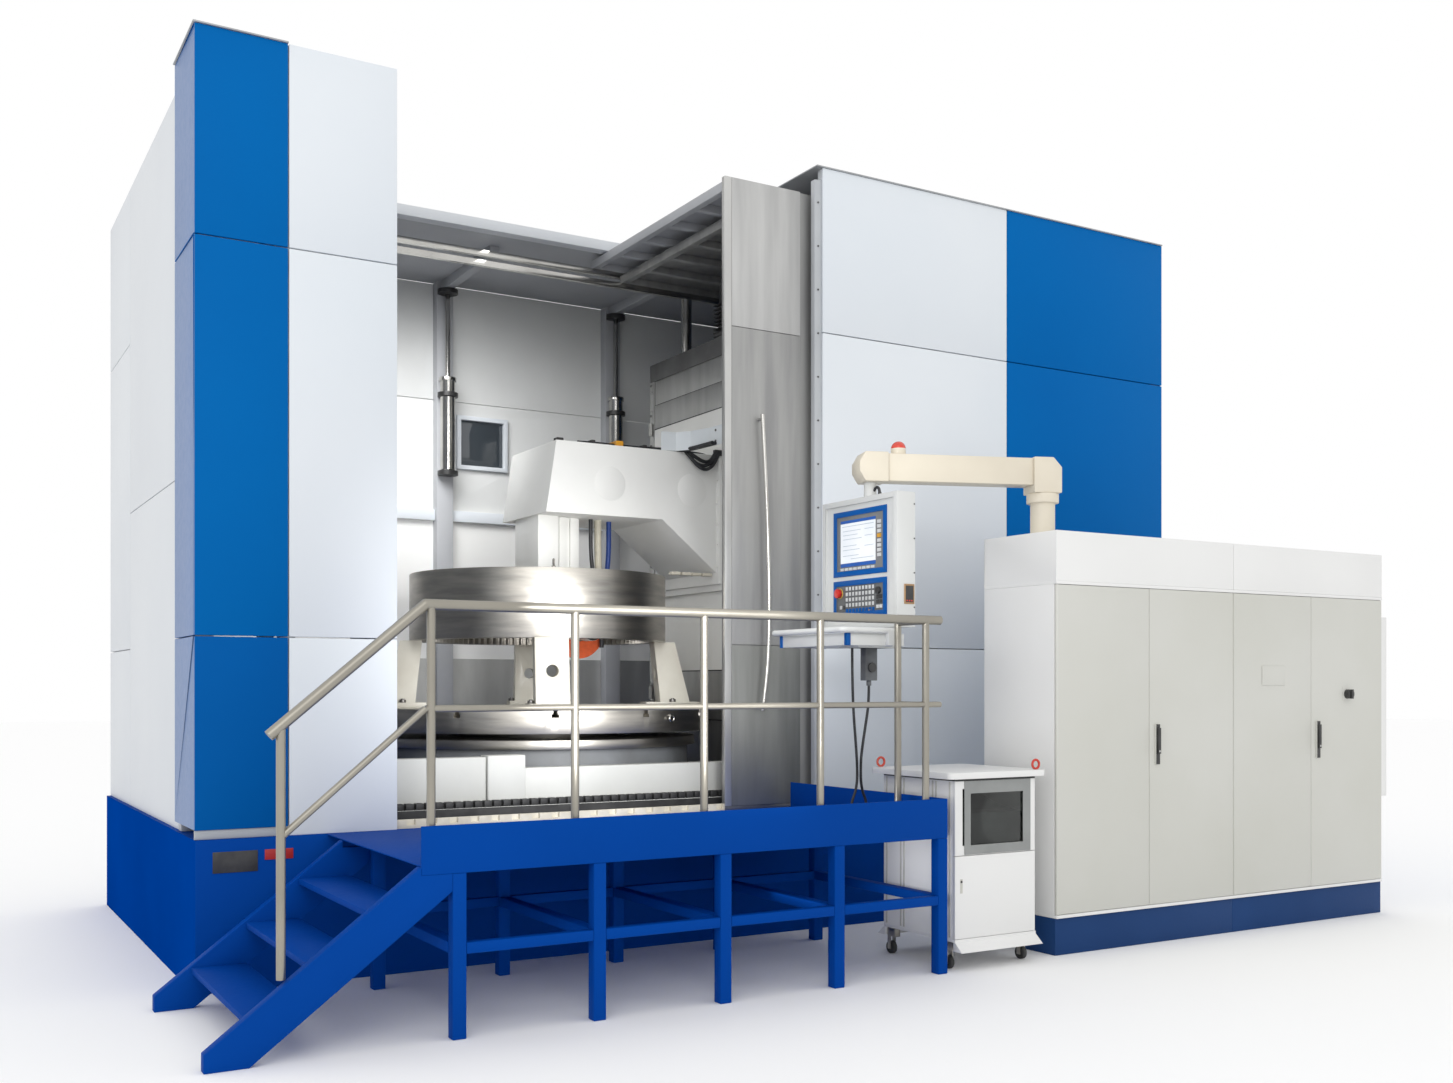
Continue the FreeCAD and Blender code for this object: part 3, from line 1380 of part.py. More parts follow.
def pendant_head():
    back = head_front + head_depth
    half = head_half_width
    step = head_frame_step
    shell = box(head_front, back, neck_y - half, neck_y + half, head_bottom, head_top)
    neck = rod(neck_radius, (neck_x, neck_y, head_top), (neck_x, neck_y, beam_low - skin * 2 - slide_gap))
    pin = rod(neck_radius * 0.6, (neck_x, neck_y, head_top), (neck_x, neck_y, beam_low + elbow_half * 0.4))
    knob_hole = rod(hinge_radius + running, (head_front - overrun, knob_y, button_z),
                    (head_front + knob_height, knob_y, button_z))
    stop_hole = rod(hinge_radius + running, (head_front - overrun, button_y, button_z),
                    (head_front + 2 * knob_height, button_y, button_z))
    shell = fused(shell, neck, pin).cut(knob_hole).cut(stop_hole)
    save("pendant_case", shell)
    profile = []
    for side in (-1, 1):
        low = min(side * half, side * (half - head_frame))
        profile.append(box(head_front - step, head_front, neck_y + low, neck_y + low + head_frame,
                           head_bottom, head_top))
    for z in (head_bottom, head_top - head_frame):
        profile.append(box(head_front - step, head_front, neck_y - half + head_frame,
                           neck_y + half - head_frame,
                           z, z + head_frame))
    save("pendant_case", *profile)
    edge = head_frame
    framed_face(screen_bottom, screen_top, screen_half_width, bezel_step)
    framed_face(key_bottom, key_top, screen_half_width, bezel_step)
    inner = screen_half_width - edge
    depth = bezel_step / 2
    save("control_panel", box(head_front - depth, head_front, neck_y - inner, neck_y + inner,
                              screen_bottom + edge,
                       screen_top - edge))
    board = box(head_front - depth, head_front, neck_y - inner, neck_y + inner, key_bottom + edge,
                key_top - edge)
    for y in (knob_y, button_y):
        board = board.cut(rod(hinge_radius + running, (head_front - overrun, y, button_z),
                              (head_front + overrun, y, button_z)))
    save("control_panel", board)
    keys = []
    start_y = neck_y + inner - 3 * head_frame
    for row in range(key_rows):
        for column_index in range(key_columns):
            y = start_y - column_index * key_pitch
            z = key_top - edge - key_pitch * (row + 0.55)
            keys.append(box(head_front - depth - key_height, head_front - depth, y - key_size, y,
                            z - key_size / 2, z + key_size / 2))
    save("control_panel", *keys)
    face = head_front - depth
    stem_end = (head_front + 2 * knob_height - button_travel - slide_gap, button_y, button_z)
    button = fused(rod(button_radius, (face - button_height, button_y, button_z),
                       (face - button_travel - slide_gap, button_y, button_z)),
                   rod(hinge_radius, (face - button_height, button_y, button_z), stem_end))
    save("stop_button", button)
    knob = fused(rod(knob_radius, (face - knob_height, knob_y, button_z),
                     (face - slide_gap, knob_y, button_z)),
                 rod(hinge_radius, (face - knob_height, knob_y, button_z),
                     (head_front + knob_height - slide_gap, knob_y, button_z)))
    save("feed_knob", knob)
    tray()
    remote()


def tray():
    right = head_front - head_frame_step
    left = right - tray_reach
    half = tray_half_width
    low = tray_top - tray_depth
    body = box(left, head_front + head_depth / 2, neck_y - half, neck_y + half, low, tray_top)
    body = body.cut(box(left + tray_wall, head_front + head_depth / 2 - tray_wall, neck_y - half + tray_wall,
                        neck_y + half - tray_wall, low + tray_wall, tray_top + overrun))
    stands = []
    for y in (neck_y - half / 2, neck_y + half / 2):
        stands.append(box(head_front, head_front + head_depth / 2 - tray_wall, y - tray_wall, y + tray_wall,
                          low + tray_wall, head_bottom))
    save("keyboard_tray", body, *stands)
    keyboard = box(left + 3 * tray_wall, right - 3 * tray_wall, neck_y - half + 3 * tray_wall,
                   neck_y + half - 3 * tray_wall, low + tray_wall, low + 4 * tray_wall)
    save("keyboard_tray", keyboard)
    outer = half + tray_handle_radius + slide_gap
    reach = left - 2.5 * tray_handle_radius
    z = tray_top + tray_handle_radius
    end = head_front - head_frame_step - tray_wall
    corner = 3 * tray_handle_radius
    path = [(end, neck_y - outer, z), (reach, neck_y - outer, z), (reach, neck_y + outer, z),
            (end, neck_y + outer, z)]
    bar = bent_tube("tray handle", tray_handle_radius, path, corner / (2 * outer))
    lugs = []
    for side in (-1, 1):
        y0 = min(side * half, side * (half + 2 * tray_handle_radius))
        lugs.append(box(end - corner, end, neck_y + y0, neck_y + y0 + 2 * tray_handle_radius, low,
                        tray_top + tray_handle_radius))
    save("keyboard_tray", fused(bar, *lugs))


def remote():
    # Hand wheel unit on a hook plate below the tray, with its hanging cord.
    low = tray_top - tray_depth
    plate_z = low - hook_plate
    x0 = head_front - remote_width * 2.4
    x1 = head_front + head_depth / 2
    y0 = neck_y - tray_half_width * 0.75
    y1 = y0 + remote_length
    hanger = box(x0, x1, y0, y1, plate_z, low)
    slot_x = x0 + (x1 - x0) / 2
    save("keyboard_tray", hanger)
    half = remote_width / 2
    body = box(slot_x - half, slot_x + half, y0 + remote_depth, y0 + 2 * remote_depth,
               plate_z - remote_length, plate_z)
    hub_z = plate_z - remote_length * 0.6
    bore = rod(hinge_radius + running, (slot_x, y0, hub_z), (slot_x, y0 + 1.5 * remote_depth, hub_z))
    save("remote_unit", body.cut(bore))
    knob_front = y0 + remote_depth - wheel_knob_height
    dial = fused(rod(wheel_knob_radius, (slot_x, knob_front, hub_z),
                     (slot_x, y0 + remote_depth - slide_gap, hub_z)),
                 rod(hinge_radius, (slot_x, knob_front, hub_z),
                     (slot_x, y0 + 1.5 * remote_depth - slide_gap, hub_z)))
    save("remote_hand_wheel", dial)
    gland_z = plate_z - remote_length
    gland_y = y0 + 1.5 * remote_depth
    gland = rod(cord_radius * 1.8, (slot_x, gland_y, gland_z - gland_length), (slot_x, gland_y, gland_z))
    save("remote_unit", gland)
    start = (slot_x, gland_y, gland_z - gland_length)
    end = (slot_x - cord_spread, gland_y, plate_z)
    points = [start]
    for dx, dy, dz in cord_route:
        points.append((slot_x + dx, gland_y + dy, dz))
    points.append(end)
    print("cord points", [tuple(round(value / 1000, 4) for value in point) for point in points])
    cord = bent_tube("remote cord", cord_radius, points)
    save("remote_cord", cord)


def cart():
    wall = cart_wall
    front = cart_front + cart_door_thickness + slide_gap
    left = cart_left
    right = cart_right
    shell = [box(left, left + wall, front, cart_back, cart_floor + wall, cart_lid_bottom),
             box(right - wall, right, front, cart_back, cart_floor + wall, cart_lid_bottom),
             box(left + wall, right - wall, cart_back - wall, cart_back, cart_floor + wall, cart_lid_bottom),
             box(left, right, cart_front, cart_back, cart_floor, cart_floor + wall),
             box(left + wall, right - wall, front, cart_back - wall, cart_shelf_height - wall,
                 cart_shelf_height)]
    save("cart_body", *shell)
    reach = cart_lid_reach
    lid = box(left - reach, right + reach, cart_front - reach / 2, cart_back + reach, cart_lid_bottom,
              cart_lid_top)
    corners = [edge for edge in lid.Edges if edge.BoundBox.ZLength > skin]
    save("cart_body", lid.makeFillet(reach * 0.6, corners))
    skirts = []
    low = cart_floor - cart_skirt_height
    out = cart_skirt_reach
    skirts.append(prism([(left, cart_front, cart_floor), (left, cart_front - out, low),
                         (left, cart_front + wall, low),
                         (left, cart_front + wall, cart_floor)], (right - left, 0, 0)))
    skirts.append(prism([(left, cart_back, cart_floor), (left, cart_back + out, low),
                         (left, cart_back - wall, low),
                         (left, cart_back - wall, cart_floor)], (right - left, 0, 0)))
    save("cart_body", *skirts)
    half = cart_door_thickness / 2
    y = cart_front + half
    lower = (cart_floor + wall + door_gap, cart_split - door_gap / 2)
    upper = (cart_split + door_gap / 2, cart_lid_bottom - door_gap)
    pins = []
    for name, (z0, z1) in (("cart_lower_door", lower), ("cart_window_door", upper)):
        pivot = right - half - door_gap / 2
        leaf = box(left, pivot, cart_front, cart_front + cart_door_thickness, z0, z1)
        leaf = leaf.fuse(rod(half, (pivot, y, z0), (pivot, y, z1))).removeSplitter()
        leaf = leaf.cut(rod(hinge_radius + running, (pivot, y, z0 - overrun), (pivot, y, z0 + hinge_length)))
        leaf = leaf.cut(rod(hinge_radius + running, (pivot, y, z1 - hinge_length), (pivot, y, z1 + overrun)))
        if name == "cart_window_door":
            edge = cart_window_edge
            hole = box(left + edge, right - edge, cart_front - overrun, front + overrun, z0 + edge, z1 - edge)
            leaf = leaf.cut(hole)
            save("cart_window_door", box(left + edge, right - edge, y - half / 2, y + half / 2, z0 + edge,
                                         z1 - edge))
        save(name, leaf)
    pivot = right - half - door_gap / 2
    pins.append(rod(hinge_radius, (pivot, y, cart_floor + wall),
                    (pivot, y, lower[0] + hinge_length - slide_gap)))
    pins.append(rod(hinge_radius, (pivot, y, upper[1] - hinge_length + slide_gap),
                    (pivot, y, cart_lid_bottom)))
    pins.append(rod(hinge_radius, (pivot, y, lower[1] - hinge_length + slide_gap),
                    (pivot, y, upper[0] + hinge_length - slide_gap)))
    save("cart_body", *pins)
    eyes = []
    for x, eye_y in ((left, cart_back + reach / 2), (right, cart_front)):
        loop = Part.makeTorus(cart_eye_radius, cart_eye_wire,
                              Vector(x, eye_y, cart_lid_top + cart_eye_radius + cart_eye_wire * 0.8),
                              Vector(0, 1, 0))
        stem = rod(cart_eye_wire, (x, eye_y, cart_lid_top), (x, eye_y, cart_lid_top + cart_eye_wire))
        eyes.append(fused(loop, stem))
    save("cart_body", *eyes)
    inset = 4 * wall
    save("cart_body", box(left + inset, right - inset, front + inset, cart_back - inset, cart_shelf_height,
                        cart_shelf_height + (cart_lid_bottom - cart_shelf_height) / 2))
    castors()


def castors():
    half = castor_wheel_width / 2
    index = 0
    for x in (cart_left + castor_inset, cart_right - castor_inset):
        for y in (cart_front + castor_end_inset, cart_back - castor_end_inset):
            index += 1
            wheel_y = y + castor_trail
            axle = castor_wheel_radius
            wheel = rod(castor_wheel_radius, (x - half, wheel_y, axle), (x + half, wheel_y, axle))
            wheel = wheel.cut(rod(hinge_radius + running, (x - 2 * half, wheel_y, axle),
                                  (x + 2 * half, wheel_y, axle)))
            save("castor_wheel_%d" % index, wheel)
            top = cart_floor - slide_gap
            crown = top - castor_fork
            outer = half + castor_fork + 2 * slide_gap
            inner = half + 2 * slide_gap
            pieces = [box(x - outer, x + outer, y - castor_trail, wheel_y + castor_trail / 2,
                          crown - castor_crown,
                          crown)]
            for x0 in (x - outer, x + inner):
                pieces.append(box(x0, x0 + castor_fork, wheel_y - castor_trail / 2,
                                  wheel_y + castor_trail / 2,
                                  axle - 2 * hinge_radius, crown - castor_crown))
            pieces.append(rod(hinge_radius, (x - outer, wheel_y, axle), (x + outer, wheel_y, axle)))
            pieces.append(rod(castor_trail / 2, (x, y, crown), (x, y, top)))
            save("castor_fork_%d" % index, fused(*pieces))


def bare_plates():
    front = base_front - plate_thickness
    low = base_height * 0.78
    high = base_height * 0.92
    left = base_left + plate_left
    wide = box(left, left + plate_width, front, base_front, low, high)
    small = box(left + plate_width * 1.15, left + plate_width * 1.8, front, base_front, (low + high) / 2,
                high)
    x = cabinet_left + 2.5 * cabinet_door_width
    tall = cabinet_door_top * 0.75
    on_door = box(x - plate_width / 2, x + plate_width / 2, cabinet_front - plate_thickness, cabinet_front,
                  tall - plate_height / 2, tall + plate_height / 2)
    save("base_frame", wide, small)
    save("cabinet_door_3", on_door)


base_frame()
machine_bed()
table_pedestal()
rotary_table()
fixture()
work_ring()
column()
carriage()
grinding_arm()
grinding_head()
cap_fittings()
towers()
walls()
roof()
sliding_door()
sill_and_covers()
platform()
cabinet()
pendant_support()
pendant_head()
cart()
bare_plates()

os.makedirs("parts", exist_ok=True)
for node, solids in nodes.items():
    Part.makeCompound(solids).exportStep("parts/" + node + ".step")
print(len(nodes), "nodes")
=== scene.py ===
import json
import math
import bpy
import bmesh
from mathutils import Vector, Matrix


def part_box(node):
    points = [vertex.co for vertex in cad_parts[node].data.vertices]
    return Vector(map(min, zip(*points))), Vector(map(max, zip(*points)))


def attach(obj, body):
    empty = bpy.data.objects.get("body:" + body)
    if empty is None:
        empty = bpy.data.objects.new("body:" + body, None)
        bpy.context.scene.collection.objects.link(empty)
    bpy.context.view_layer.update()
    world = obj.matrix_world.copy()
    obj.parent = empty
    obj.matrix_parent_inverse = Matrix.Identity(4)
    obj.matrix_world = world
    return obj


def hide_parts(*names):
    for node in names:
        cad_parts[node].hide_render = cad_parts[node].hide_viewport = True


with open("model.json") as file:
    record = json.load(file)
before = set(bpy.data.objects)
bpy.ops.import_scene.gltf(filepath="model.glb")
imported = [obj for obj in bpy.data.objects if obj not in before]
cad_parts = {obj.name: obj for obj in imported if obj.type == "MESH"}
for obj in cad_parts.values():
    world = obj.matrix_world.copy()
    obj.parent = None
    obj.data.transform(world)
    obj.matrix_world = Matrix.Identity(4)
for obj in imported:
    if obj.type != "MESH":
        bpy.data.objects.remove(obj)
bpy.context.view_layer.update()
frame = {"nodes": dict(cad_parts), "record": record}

# Camera: eye height of a standing person, level, looking back and to the right.
# The lens and the upward shift are solved from the straight edges of the machine.
camera_data = bpy.data.cameras.new("camera")
camera_data.sensor_width = 36.0
camera_data.lens = 34.5
camera_data.shift_y = 0.0998
camera_data.clip_end = 200.0
eye_height = 1.6
heading = math.radians(-30.85)
camera = bpy.data.objects.new("camera", camera_data)
camera.location = (-3.915, -9.145, eye_height)
camera.rotation_euler = (math.radians(90), 0, heading)
bpy.context.collection.objects.link(camera)
bpy.context.scene.camera = camera
bpy.context.scene.view_settings.view_transform = "Standard"


# Cord of the hand unit: black rubber cable 1.80 m long, hanging in one loop from
# the unit's gland down to the deck and back up to the plug under the panel case.
def linked(name, data):
    thing = bpy.data.objects.new(name, data)
    bpy.context.collection.objects.link(thing)
    return thing


def tube_curve(name, routes, radius, sides=4):
    data = bpy.data.curves.new(name, "CURVE")
    data.dimensions = "3D"
    data.bevel_depth = radius
    data.bevel_resolution = sides
    data.resolution_u = 12
    data.use_fill_caps = True
    for points in routes:
        spline = data.splines.new("NURBS")
        spline.points.add(len(points) - 1)
        for place, point in zip(spline.points, points):
            place.co = (*point, 1.0)
        spline.order_u = 3
        spline.use_endpoint_u = True
    return linked(name, data)


cord_radius = 0.008
remote_cord_points = [
    (0.983, -2.5707, 1.605), (0.983, -2.5707, 1.51), (0.967, -2.5667, 1.4), (0.947, -2.5657, 1.29),
    (0.929, -2.5678, 1.19), (0.924, -2.5707, 1.115), (0.926, -2.5688, 1.05), (0.939, -2.5667, 0.988),
    (0.965, -2.5657, 0.935), (0.971, -2.5667, 0.88), (0.941, -2.5688, 0.838), (0.885, -2.5707, 0.838),
    (0.855, -2.5728, 0.88), (0.859, -2.5737, 0.935), (0.884, -2.5747, 0.988), (0.897, -2.5728, 1.05),
    (0.899, -2.5707, 1.115), (0.897, -2.5688, 1.19), (0.889, -2.5678, 1.29), (0.877, -2.5688, 1.41),
    (0.87, -2.5678, 1.53), (0.865, -2.5697, 1.66), (0.863, -2.5707, 1.75), (0.863, -2.5707, 1.825)]
remote_cord = tube_curve("remote_cord_loop", [remote_cord_points], cord_radius)


def material(name, color, rough, metallic=0.0, coat=0.0, shine=0.5):
    made = bpy.data.materials.new(name)
    made.use_nodes = True
    shader = made.node_tree.nodes["Principled BSDF"]
    shader.inputs["Base Color"].default_value = (*color, 1.0)
    shader.inputs["Roughness"].default_value = rough
    shader.inputs["Metallic"].default_value = metallic
    shader.inputs["Coat Weight"].default_value = coat
    shader.inputs["Specular IOR Level"].default_value = shine
    return made


def wear_group():
    # Cloudy tone and roughness over a surface, with fine bumps, all on object coordinates.
    tree = bpy.data.node_groups.new("surface_tone", "ShaderNodeTree")
    for label, kind, value in (("Color", "NodeSocketColor", (0.8, 0.8, 0.8, 1.0)),
                               ("Second Color", "NodeSocketColor", (0.7, 0.7, 0.7, 1.0)),
                               ("Stretch", "NodeSocketVector", (1.0, 1.0, 1.0)),
                               ("Cloud Scale", "NodeSocketFloat", 1.5),
                               ("Grain Scale", "NodeSocketFloat", 60.0),
                               ("Roughness", "NodeSocketFloat", 0.4),
                               ("Roughness Spread", "NodeSocketFloat", 0.1)):
        socket = tree.interface.new_socket(label, in_out="INPUT", socket_type=kind)
        socket.default_value = value
    tree.interface.new_socket("Color", in_out="OUTPUT", socket_type="NodeSocketColor")
    tree.interface.new_socket("Roughness", in_out="OUTPUT", socket_type="NodeSocketFloat")
    tree.interface.new_socket("Height", in_out="OUTPUT", socket_type="NodeSocketFloat")
    add = tree.nodes.new
    link = tree.links.new
    start = add("NodeGroupInput")
    end = add("NodeGroupOutput")
    place = add("ShaderNodeTexCoord")
    scaled = add("ShaderNodeVectorMath")
    scaled.operation = "MULTIPLY"
    link(place.outputs["Object"], scaled.inputs[0])
    link(start.outputs["Stretch"], scaled.inputs[1])
    cloud = add("ShaderNodeTexNoise")
    cloud.inputs["Detail"].default_value = 6.0
    grain = add("ShaderNodeTexNoise")
    grain.inputs["Detail"].default_value = 3.0
    for noise, label in ((cloud, "Cloud Scale"), (grain, "Grain Scale")):
        link(scaled.outputs[0], noise.inputs["Vector"])
        link(start.outputs[label], noise.inputs["Scale"])
    ramp = add("ShaderNodeMapRange")
    ramp.inputs["From Min"].default_value = 0.35
    ramp.inputs["From Max"].default_value = 0.7
    link(cloud.outputs["Fac"], ramp.inputs["Value"])
    mix = add("ShaderNodeMix")
    mix.data_type = "RGBA"
    link(ramp.outputs["Result"], mix.inputs["Factor"])
    link(start.outputs["Color"], mix.inputs["A"])
    link(start.outputs["Second Color"], mix.inputs["B"])
    link(mix.outputs["Result"], end.inputs["Color"])
    rough = add("ShaderNodeMath")
    rough.operation = "MULTIPLY_ADD"
    link(grain.outputs["Fac"], rough.inputs[0])
    link(start.outputs["Roughness Spread"], rough.inputs[1])
    link(start.outputs["Roughness"], rough.inputs[2])
    link(rough.outputs[0], end.inputs["Roughness"])
    link(grain.outputs["Fac"], end.inputs["Height"])
    return tree


surface_tone = wear_group()


def toned(name, color, second, rough, metallic=0.0, coat=0.0, cloud=1.5, grain=60.0, stretch=(1, 1, 1),
          bump=0.02, spread=0.12, shine=0.5):
    made = material(name, color, rough, metallic, coat, shine)
    tree = made.node_tree
    shader = tree.nodes["Principled BSDF"]
    tone = tree.nodes.new("ShaderNodeGroup")
    tone.node_tree = surface_tone
    tone.inputs["Color"].default_value = (*color, 1.0)
    tone.inputs["Second Color"].default_value = (*second, 1.0)
    tone.inputs["Stretch"].default_value = stretch
    tone.inputs["Cloud Scale"].default_value = cloud
    tone.inputs["Grain Scale"].default_value = grain
    tone.inputs["Roughness"].default_value = rough
    tone.inputs["Roughness Spread"].default_value = spread
    relief = tree.nodes.new("ShaderNodeBump")
    relief.inputs["Strength"].default_value = bump
    relief.inputs["Distance"].default_value = 0.01
    tree.links.new(tone.outputs["Color"], shader.inputs["Base Color"])
    tree.links.new(tone.outputs["Roughness"], shader.inputs["Roughness"])
    tree.links.new(tone.outputs["Height"], relief.inputs["Height"])
    tree.links.new(relief.outputs["Normal"], shader.inputs["Normal"])
    return made


cable_rubber = toned("cable_rubber", (0.012, 0.013, 0.016), (0.03, 0.031, 0.035), 0.45, cloud=20)
remote_cord.data.materials.append(cable_rubber)
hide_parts("remote_cord")
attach(remote_cord, "pendant_head")

# Studio: a plain pale floor and wide soft lights, bright from the front left.
# They are stage, not part of the machine.
floor_reach = 60
floor_corners = [(floor_reach * x, floor_reach * y, 0) for x, y in ((-1, -1), (1, -1), (1, 1), (-1, 1))]
floor_mesh = bpy.data.meshes.new("floor")
floor_mesh.from_pydata(floor_corners, [], [(0, 1, 2, 3)])
floor = linked("floor", floor_mesh)
floor_mesh.materials.append(material("floor_white", (0.98, 0.98, 0.98), 0.9))
world = bpy.data.worlds.new("world")
bpy.context.scene.world = world
world.use_nodes = True
world.node_tree.nodes["Background"].inputs["Color"].default_value = (1.0, 1.0, 1.0, 1.0)
world.node_tree.nodes["Background"].inputs["Strength"].default_value = 1.0


def area_light(name, place, target, size, power, spread=180):
    # A square light that faces its target, with its side in metres and its power in watts.
    data = bpy.data.lights.new(name, "AREA")
    data.spread = math.radians(spread)
    data.size = size
    data.energy = power
    light = linked(name, data)
    light.location = place
    light.rotation_euler = (Vector(target) - Vector(place)).to_track_quat("-Z", "Y").to_euler()


area_light("front_light", (-6.0, -12.0, 8.0), (0.5, 0.0, 2.0), size=7.0, power=220)
area_light("top_light", (-0.9, 0.5, 4.4), (0.1, 1.9, 2.6), size=1.2, power=19, spread=100)
area_light("door_light", (-0.6, -3.4, 1.95), (-0.1, 0.9, 1.5), size=1.5, power=20, spread=65)
area_light("panel_light", (-1.2, -4.0, 2.6), (1.0, -2.4, 2.3), size=0.8, power=3.5, spread=50)
area_light("cart_light", (0.15, -2.75, 0.68), (1.2, -2.78, 0.66), size=0.5, power=0.75, spread=50)


# Base tray: welded plate painted deep blue, with a pale sill strip, two steel floor
# tracks for the door leaves and two bare plates riveted to its front.
body_names = {}
for body, node_list in frame["record"]["behaviour"]["bodies"].items():
    for node in node_list:
        body_names[node] = body
weld_gap = 0.00002
flat_angle = math.radians(0.3)
bevel_angle = math.radians(35)
shade_angle = math.radians(40)
far = 10.0
slack = 0.001


def softened(node, width, paint, zones=()):
    # A merged copy of a solid's mesh, with a small rounded edge on every sheet, casting and beam.
    # The zones are paints with the low and high corner of the box that they fill. The first that
    # holds a whole face wins, and a bound of far, beyond every piece, leaves that side open.
    mesh = bmesh.new()
    mesh.from_mesh(frame["nodes"][node].data)
    bmesh.ops.remove_doubles(mesh, verts=mesh.verts, dist=weld_gap)
    bmesh.ops.dissolve_limit(mesh, angle_limit=flat_angle, verts=mesh.verts, edges=mesh.edges)
    for face in mesh.faces:
        corners = [vert.co for vert in face.verts]
        for index, (_, low, high) in enumerate(zones):
            if all(a <= value <= b for corner in corners for a, value, b in zip(low, corner, high)):
                face.material_index = index + 1
                break
    if width:
        edges = [edge for edge in mesh.edges if len(edge.link_faces) == 2
                 and edge.calc_face_angle(0) > bevel_angle]
        bmesh.ops.bevel(mesh, geom=edges, offset=width, segments=2, profile=0.5, affect="EDGES",
                        clamp_overlap=True, material=-1)
    for edge in mesh.edges:
        edge.smooth = len(edge.link_faces) == 2 and edge.calc_face_angle(0) < shade_angle
    for face in mesh.faces:
        face.smooth = True
    data = bpy.data.meshes.new(node + "_finish")
    mesh.to_mesh(data)
    mesh.free()
    piece = linked(node + "_finish", data)
    data.materials.append(paint)
    for zone_paint, _, _ in zones:
        data.materials.append(zone_paint)
    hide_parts(node)
    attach(piece, body_names[node])


base_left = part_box("base_frame")[0][0]
base_front = -1.545
base_top = 0.80
opening_left = -1.51
base_blue = toned("base_blue", (0.0, 0.056, 0.33), (0.0, 0.049, 0.29), 0.5, cloud=0.9, grain=35, shine=0.04)
track_steel = toned("track_steel", (0.34, 0.34, 0.34), (0.24, 0.24, 0.24), 0.35, metallic=0.9, cloud=5)
plate_black = toned("plate_black", (0.03, 0.03, 0.035), (0.06, 0.06, 0.06), 0.4, cloud=12)
plate_red = toned("plate_red", (0.5, 0.02, 0.02), (0.4, 0.02, 0.02), 0.4, cloud=12)
# Painted shade: the left side of the base is the same blue a little darker and without sheen, for the shade on
# that side.
base_left_side_painted_shade = toned("base_left_side_painted_shade", (0.0, 0.05, 0.32), (0.0, 0.043, 0.28), 0.6, cloud=0.9, grain=35,
                       shine=0.0)
sill_cream = toned("sill_cream", (0.66, 0.62, 0.52), (0.50, 0.46, 0.37), 0.45, cloud=9)
softened("base_frame", 0.004, base_blue, (
    (base_left_side_painted_shade, (base_left - slack, -far, -far), (base_left + slack, far, base_top + slack)),
    (sill_cream, (opening_left, -1.51, base_top - slack), (0.65, -1.46, far)),
    (track_steel, (opening_left, -1.44, base_top - slack), (far, -1.36, far)),
    (plate_black, (-2.51, -far, 0.61), (-2.24, base_front - 0.0002, 0.75)),
    (plate_red, (-2.235, -far, 0.61), (-2.07, base_front - 0.0002, 0.75))))

# Bed with its levelling feet, and the table's pedestal: grey cast iron, with ground
# feed ways and a ground ring on top for the table's bearing.
iron_grey = toned("iron_grey", (0.17, 0.18, 0.19), (0.12, 0.125, 0.13), 0.5, cloud=4)
ground_steel = toned("ground_steel", (0.50, 0.475, 0.43), (0.34, 0.325, 0.30), 0.3, metallic=1.0, cloud=3,
                     grain=180, stretch=(1, 1, 8), spread=0.15)
bed_top = 0.90
bearing_foot = 1.19
softened("machine_bed", 0.004, iron_grey, ((ground_steel, (1.28, -0.6, bed_top), (3.4, 0.6, far)),))
softened("table_base", 0.004, iron_grey, ((ground_steel, (-far, -far, bearing_foot), (far, far, far)),))

# Tower panels: folded sheet cassettes, blue at the outer side and white beside it.
# The left blue is a brighter azure towards the top, where the light reaches it.
tower_blue = toned("tower_blue", (0.0, 0.13, 0.42), (0.0, 0.115, 0.39), 0.45, cloud=0.5, grain=30, shine=0.04)
cool_white = toned("cool_white", (0.74, 0.775, 0.81), (0.69, 0.735, 0.78), 0.48, cloud=0.5, grain=30,
                   shine=0.25)
cap_metal = toned("cap_metal", (0.42, 0.43, 0.44), (0.34, 0.35, 0.36), 0.4, metallic=0.6, cloud=4)
jamb_grey = toned("jamb_grey", (0.5, 0.52, 0.54), (0.42, 0.44, 0.46), 0.45, cloud=2)
cap_foot = 5.045
wing_back = -0.92
low_joint = 1.863
softened("tower_frames", 0.004, jamb_grey, ((cap_metal, (-far, -far, cap_foot), (far, far, far)),))
softened("white_front_panels", 0.004, cool_white)
# Painted light: the left side faces of the blue wing are a lighter, greyer blue than its front, for the light
# falling on that side.
wing_side_painted_light = toned("wing_side_painted_light", (0.055, 0.155, 0.39), (0.04, 0.135, 0.36), 0.3, cloud=0.6, grain=30, shine=0.5)
low_blue = toned("low_blue", (0.0, 0.105, 0.38), (0.0, 0.09, 0.34), 0.45, cloud=0.5, grain=30, shine=0.04)
softened("blue_front_panels", 0.004, tower_blue, (
    (wing_side_painted_light, (-far, -far, -far), (base_left + 0.005, wing_back, far)),
    (low_blue, (-far, -far, -far), (-2.09, wing_back, low_joint))))


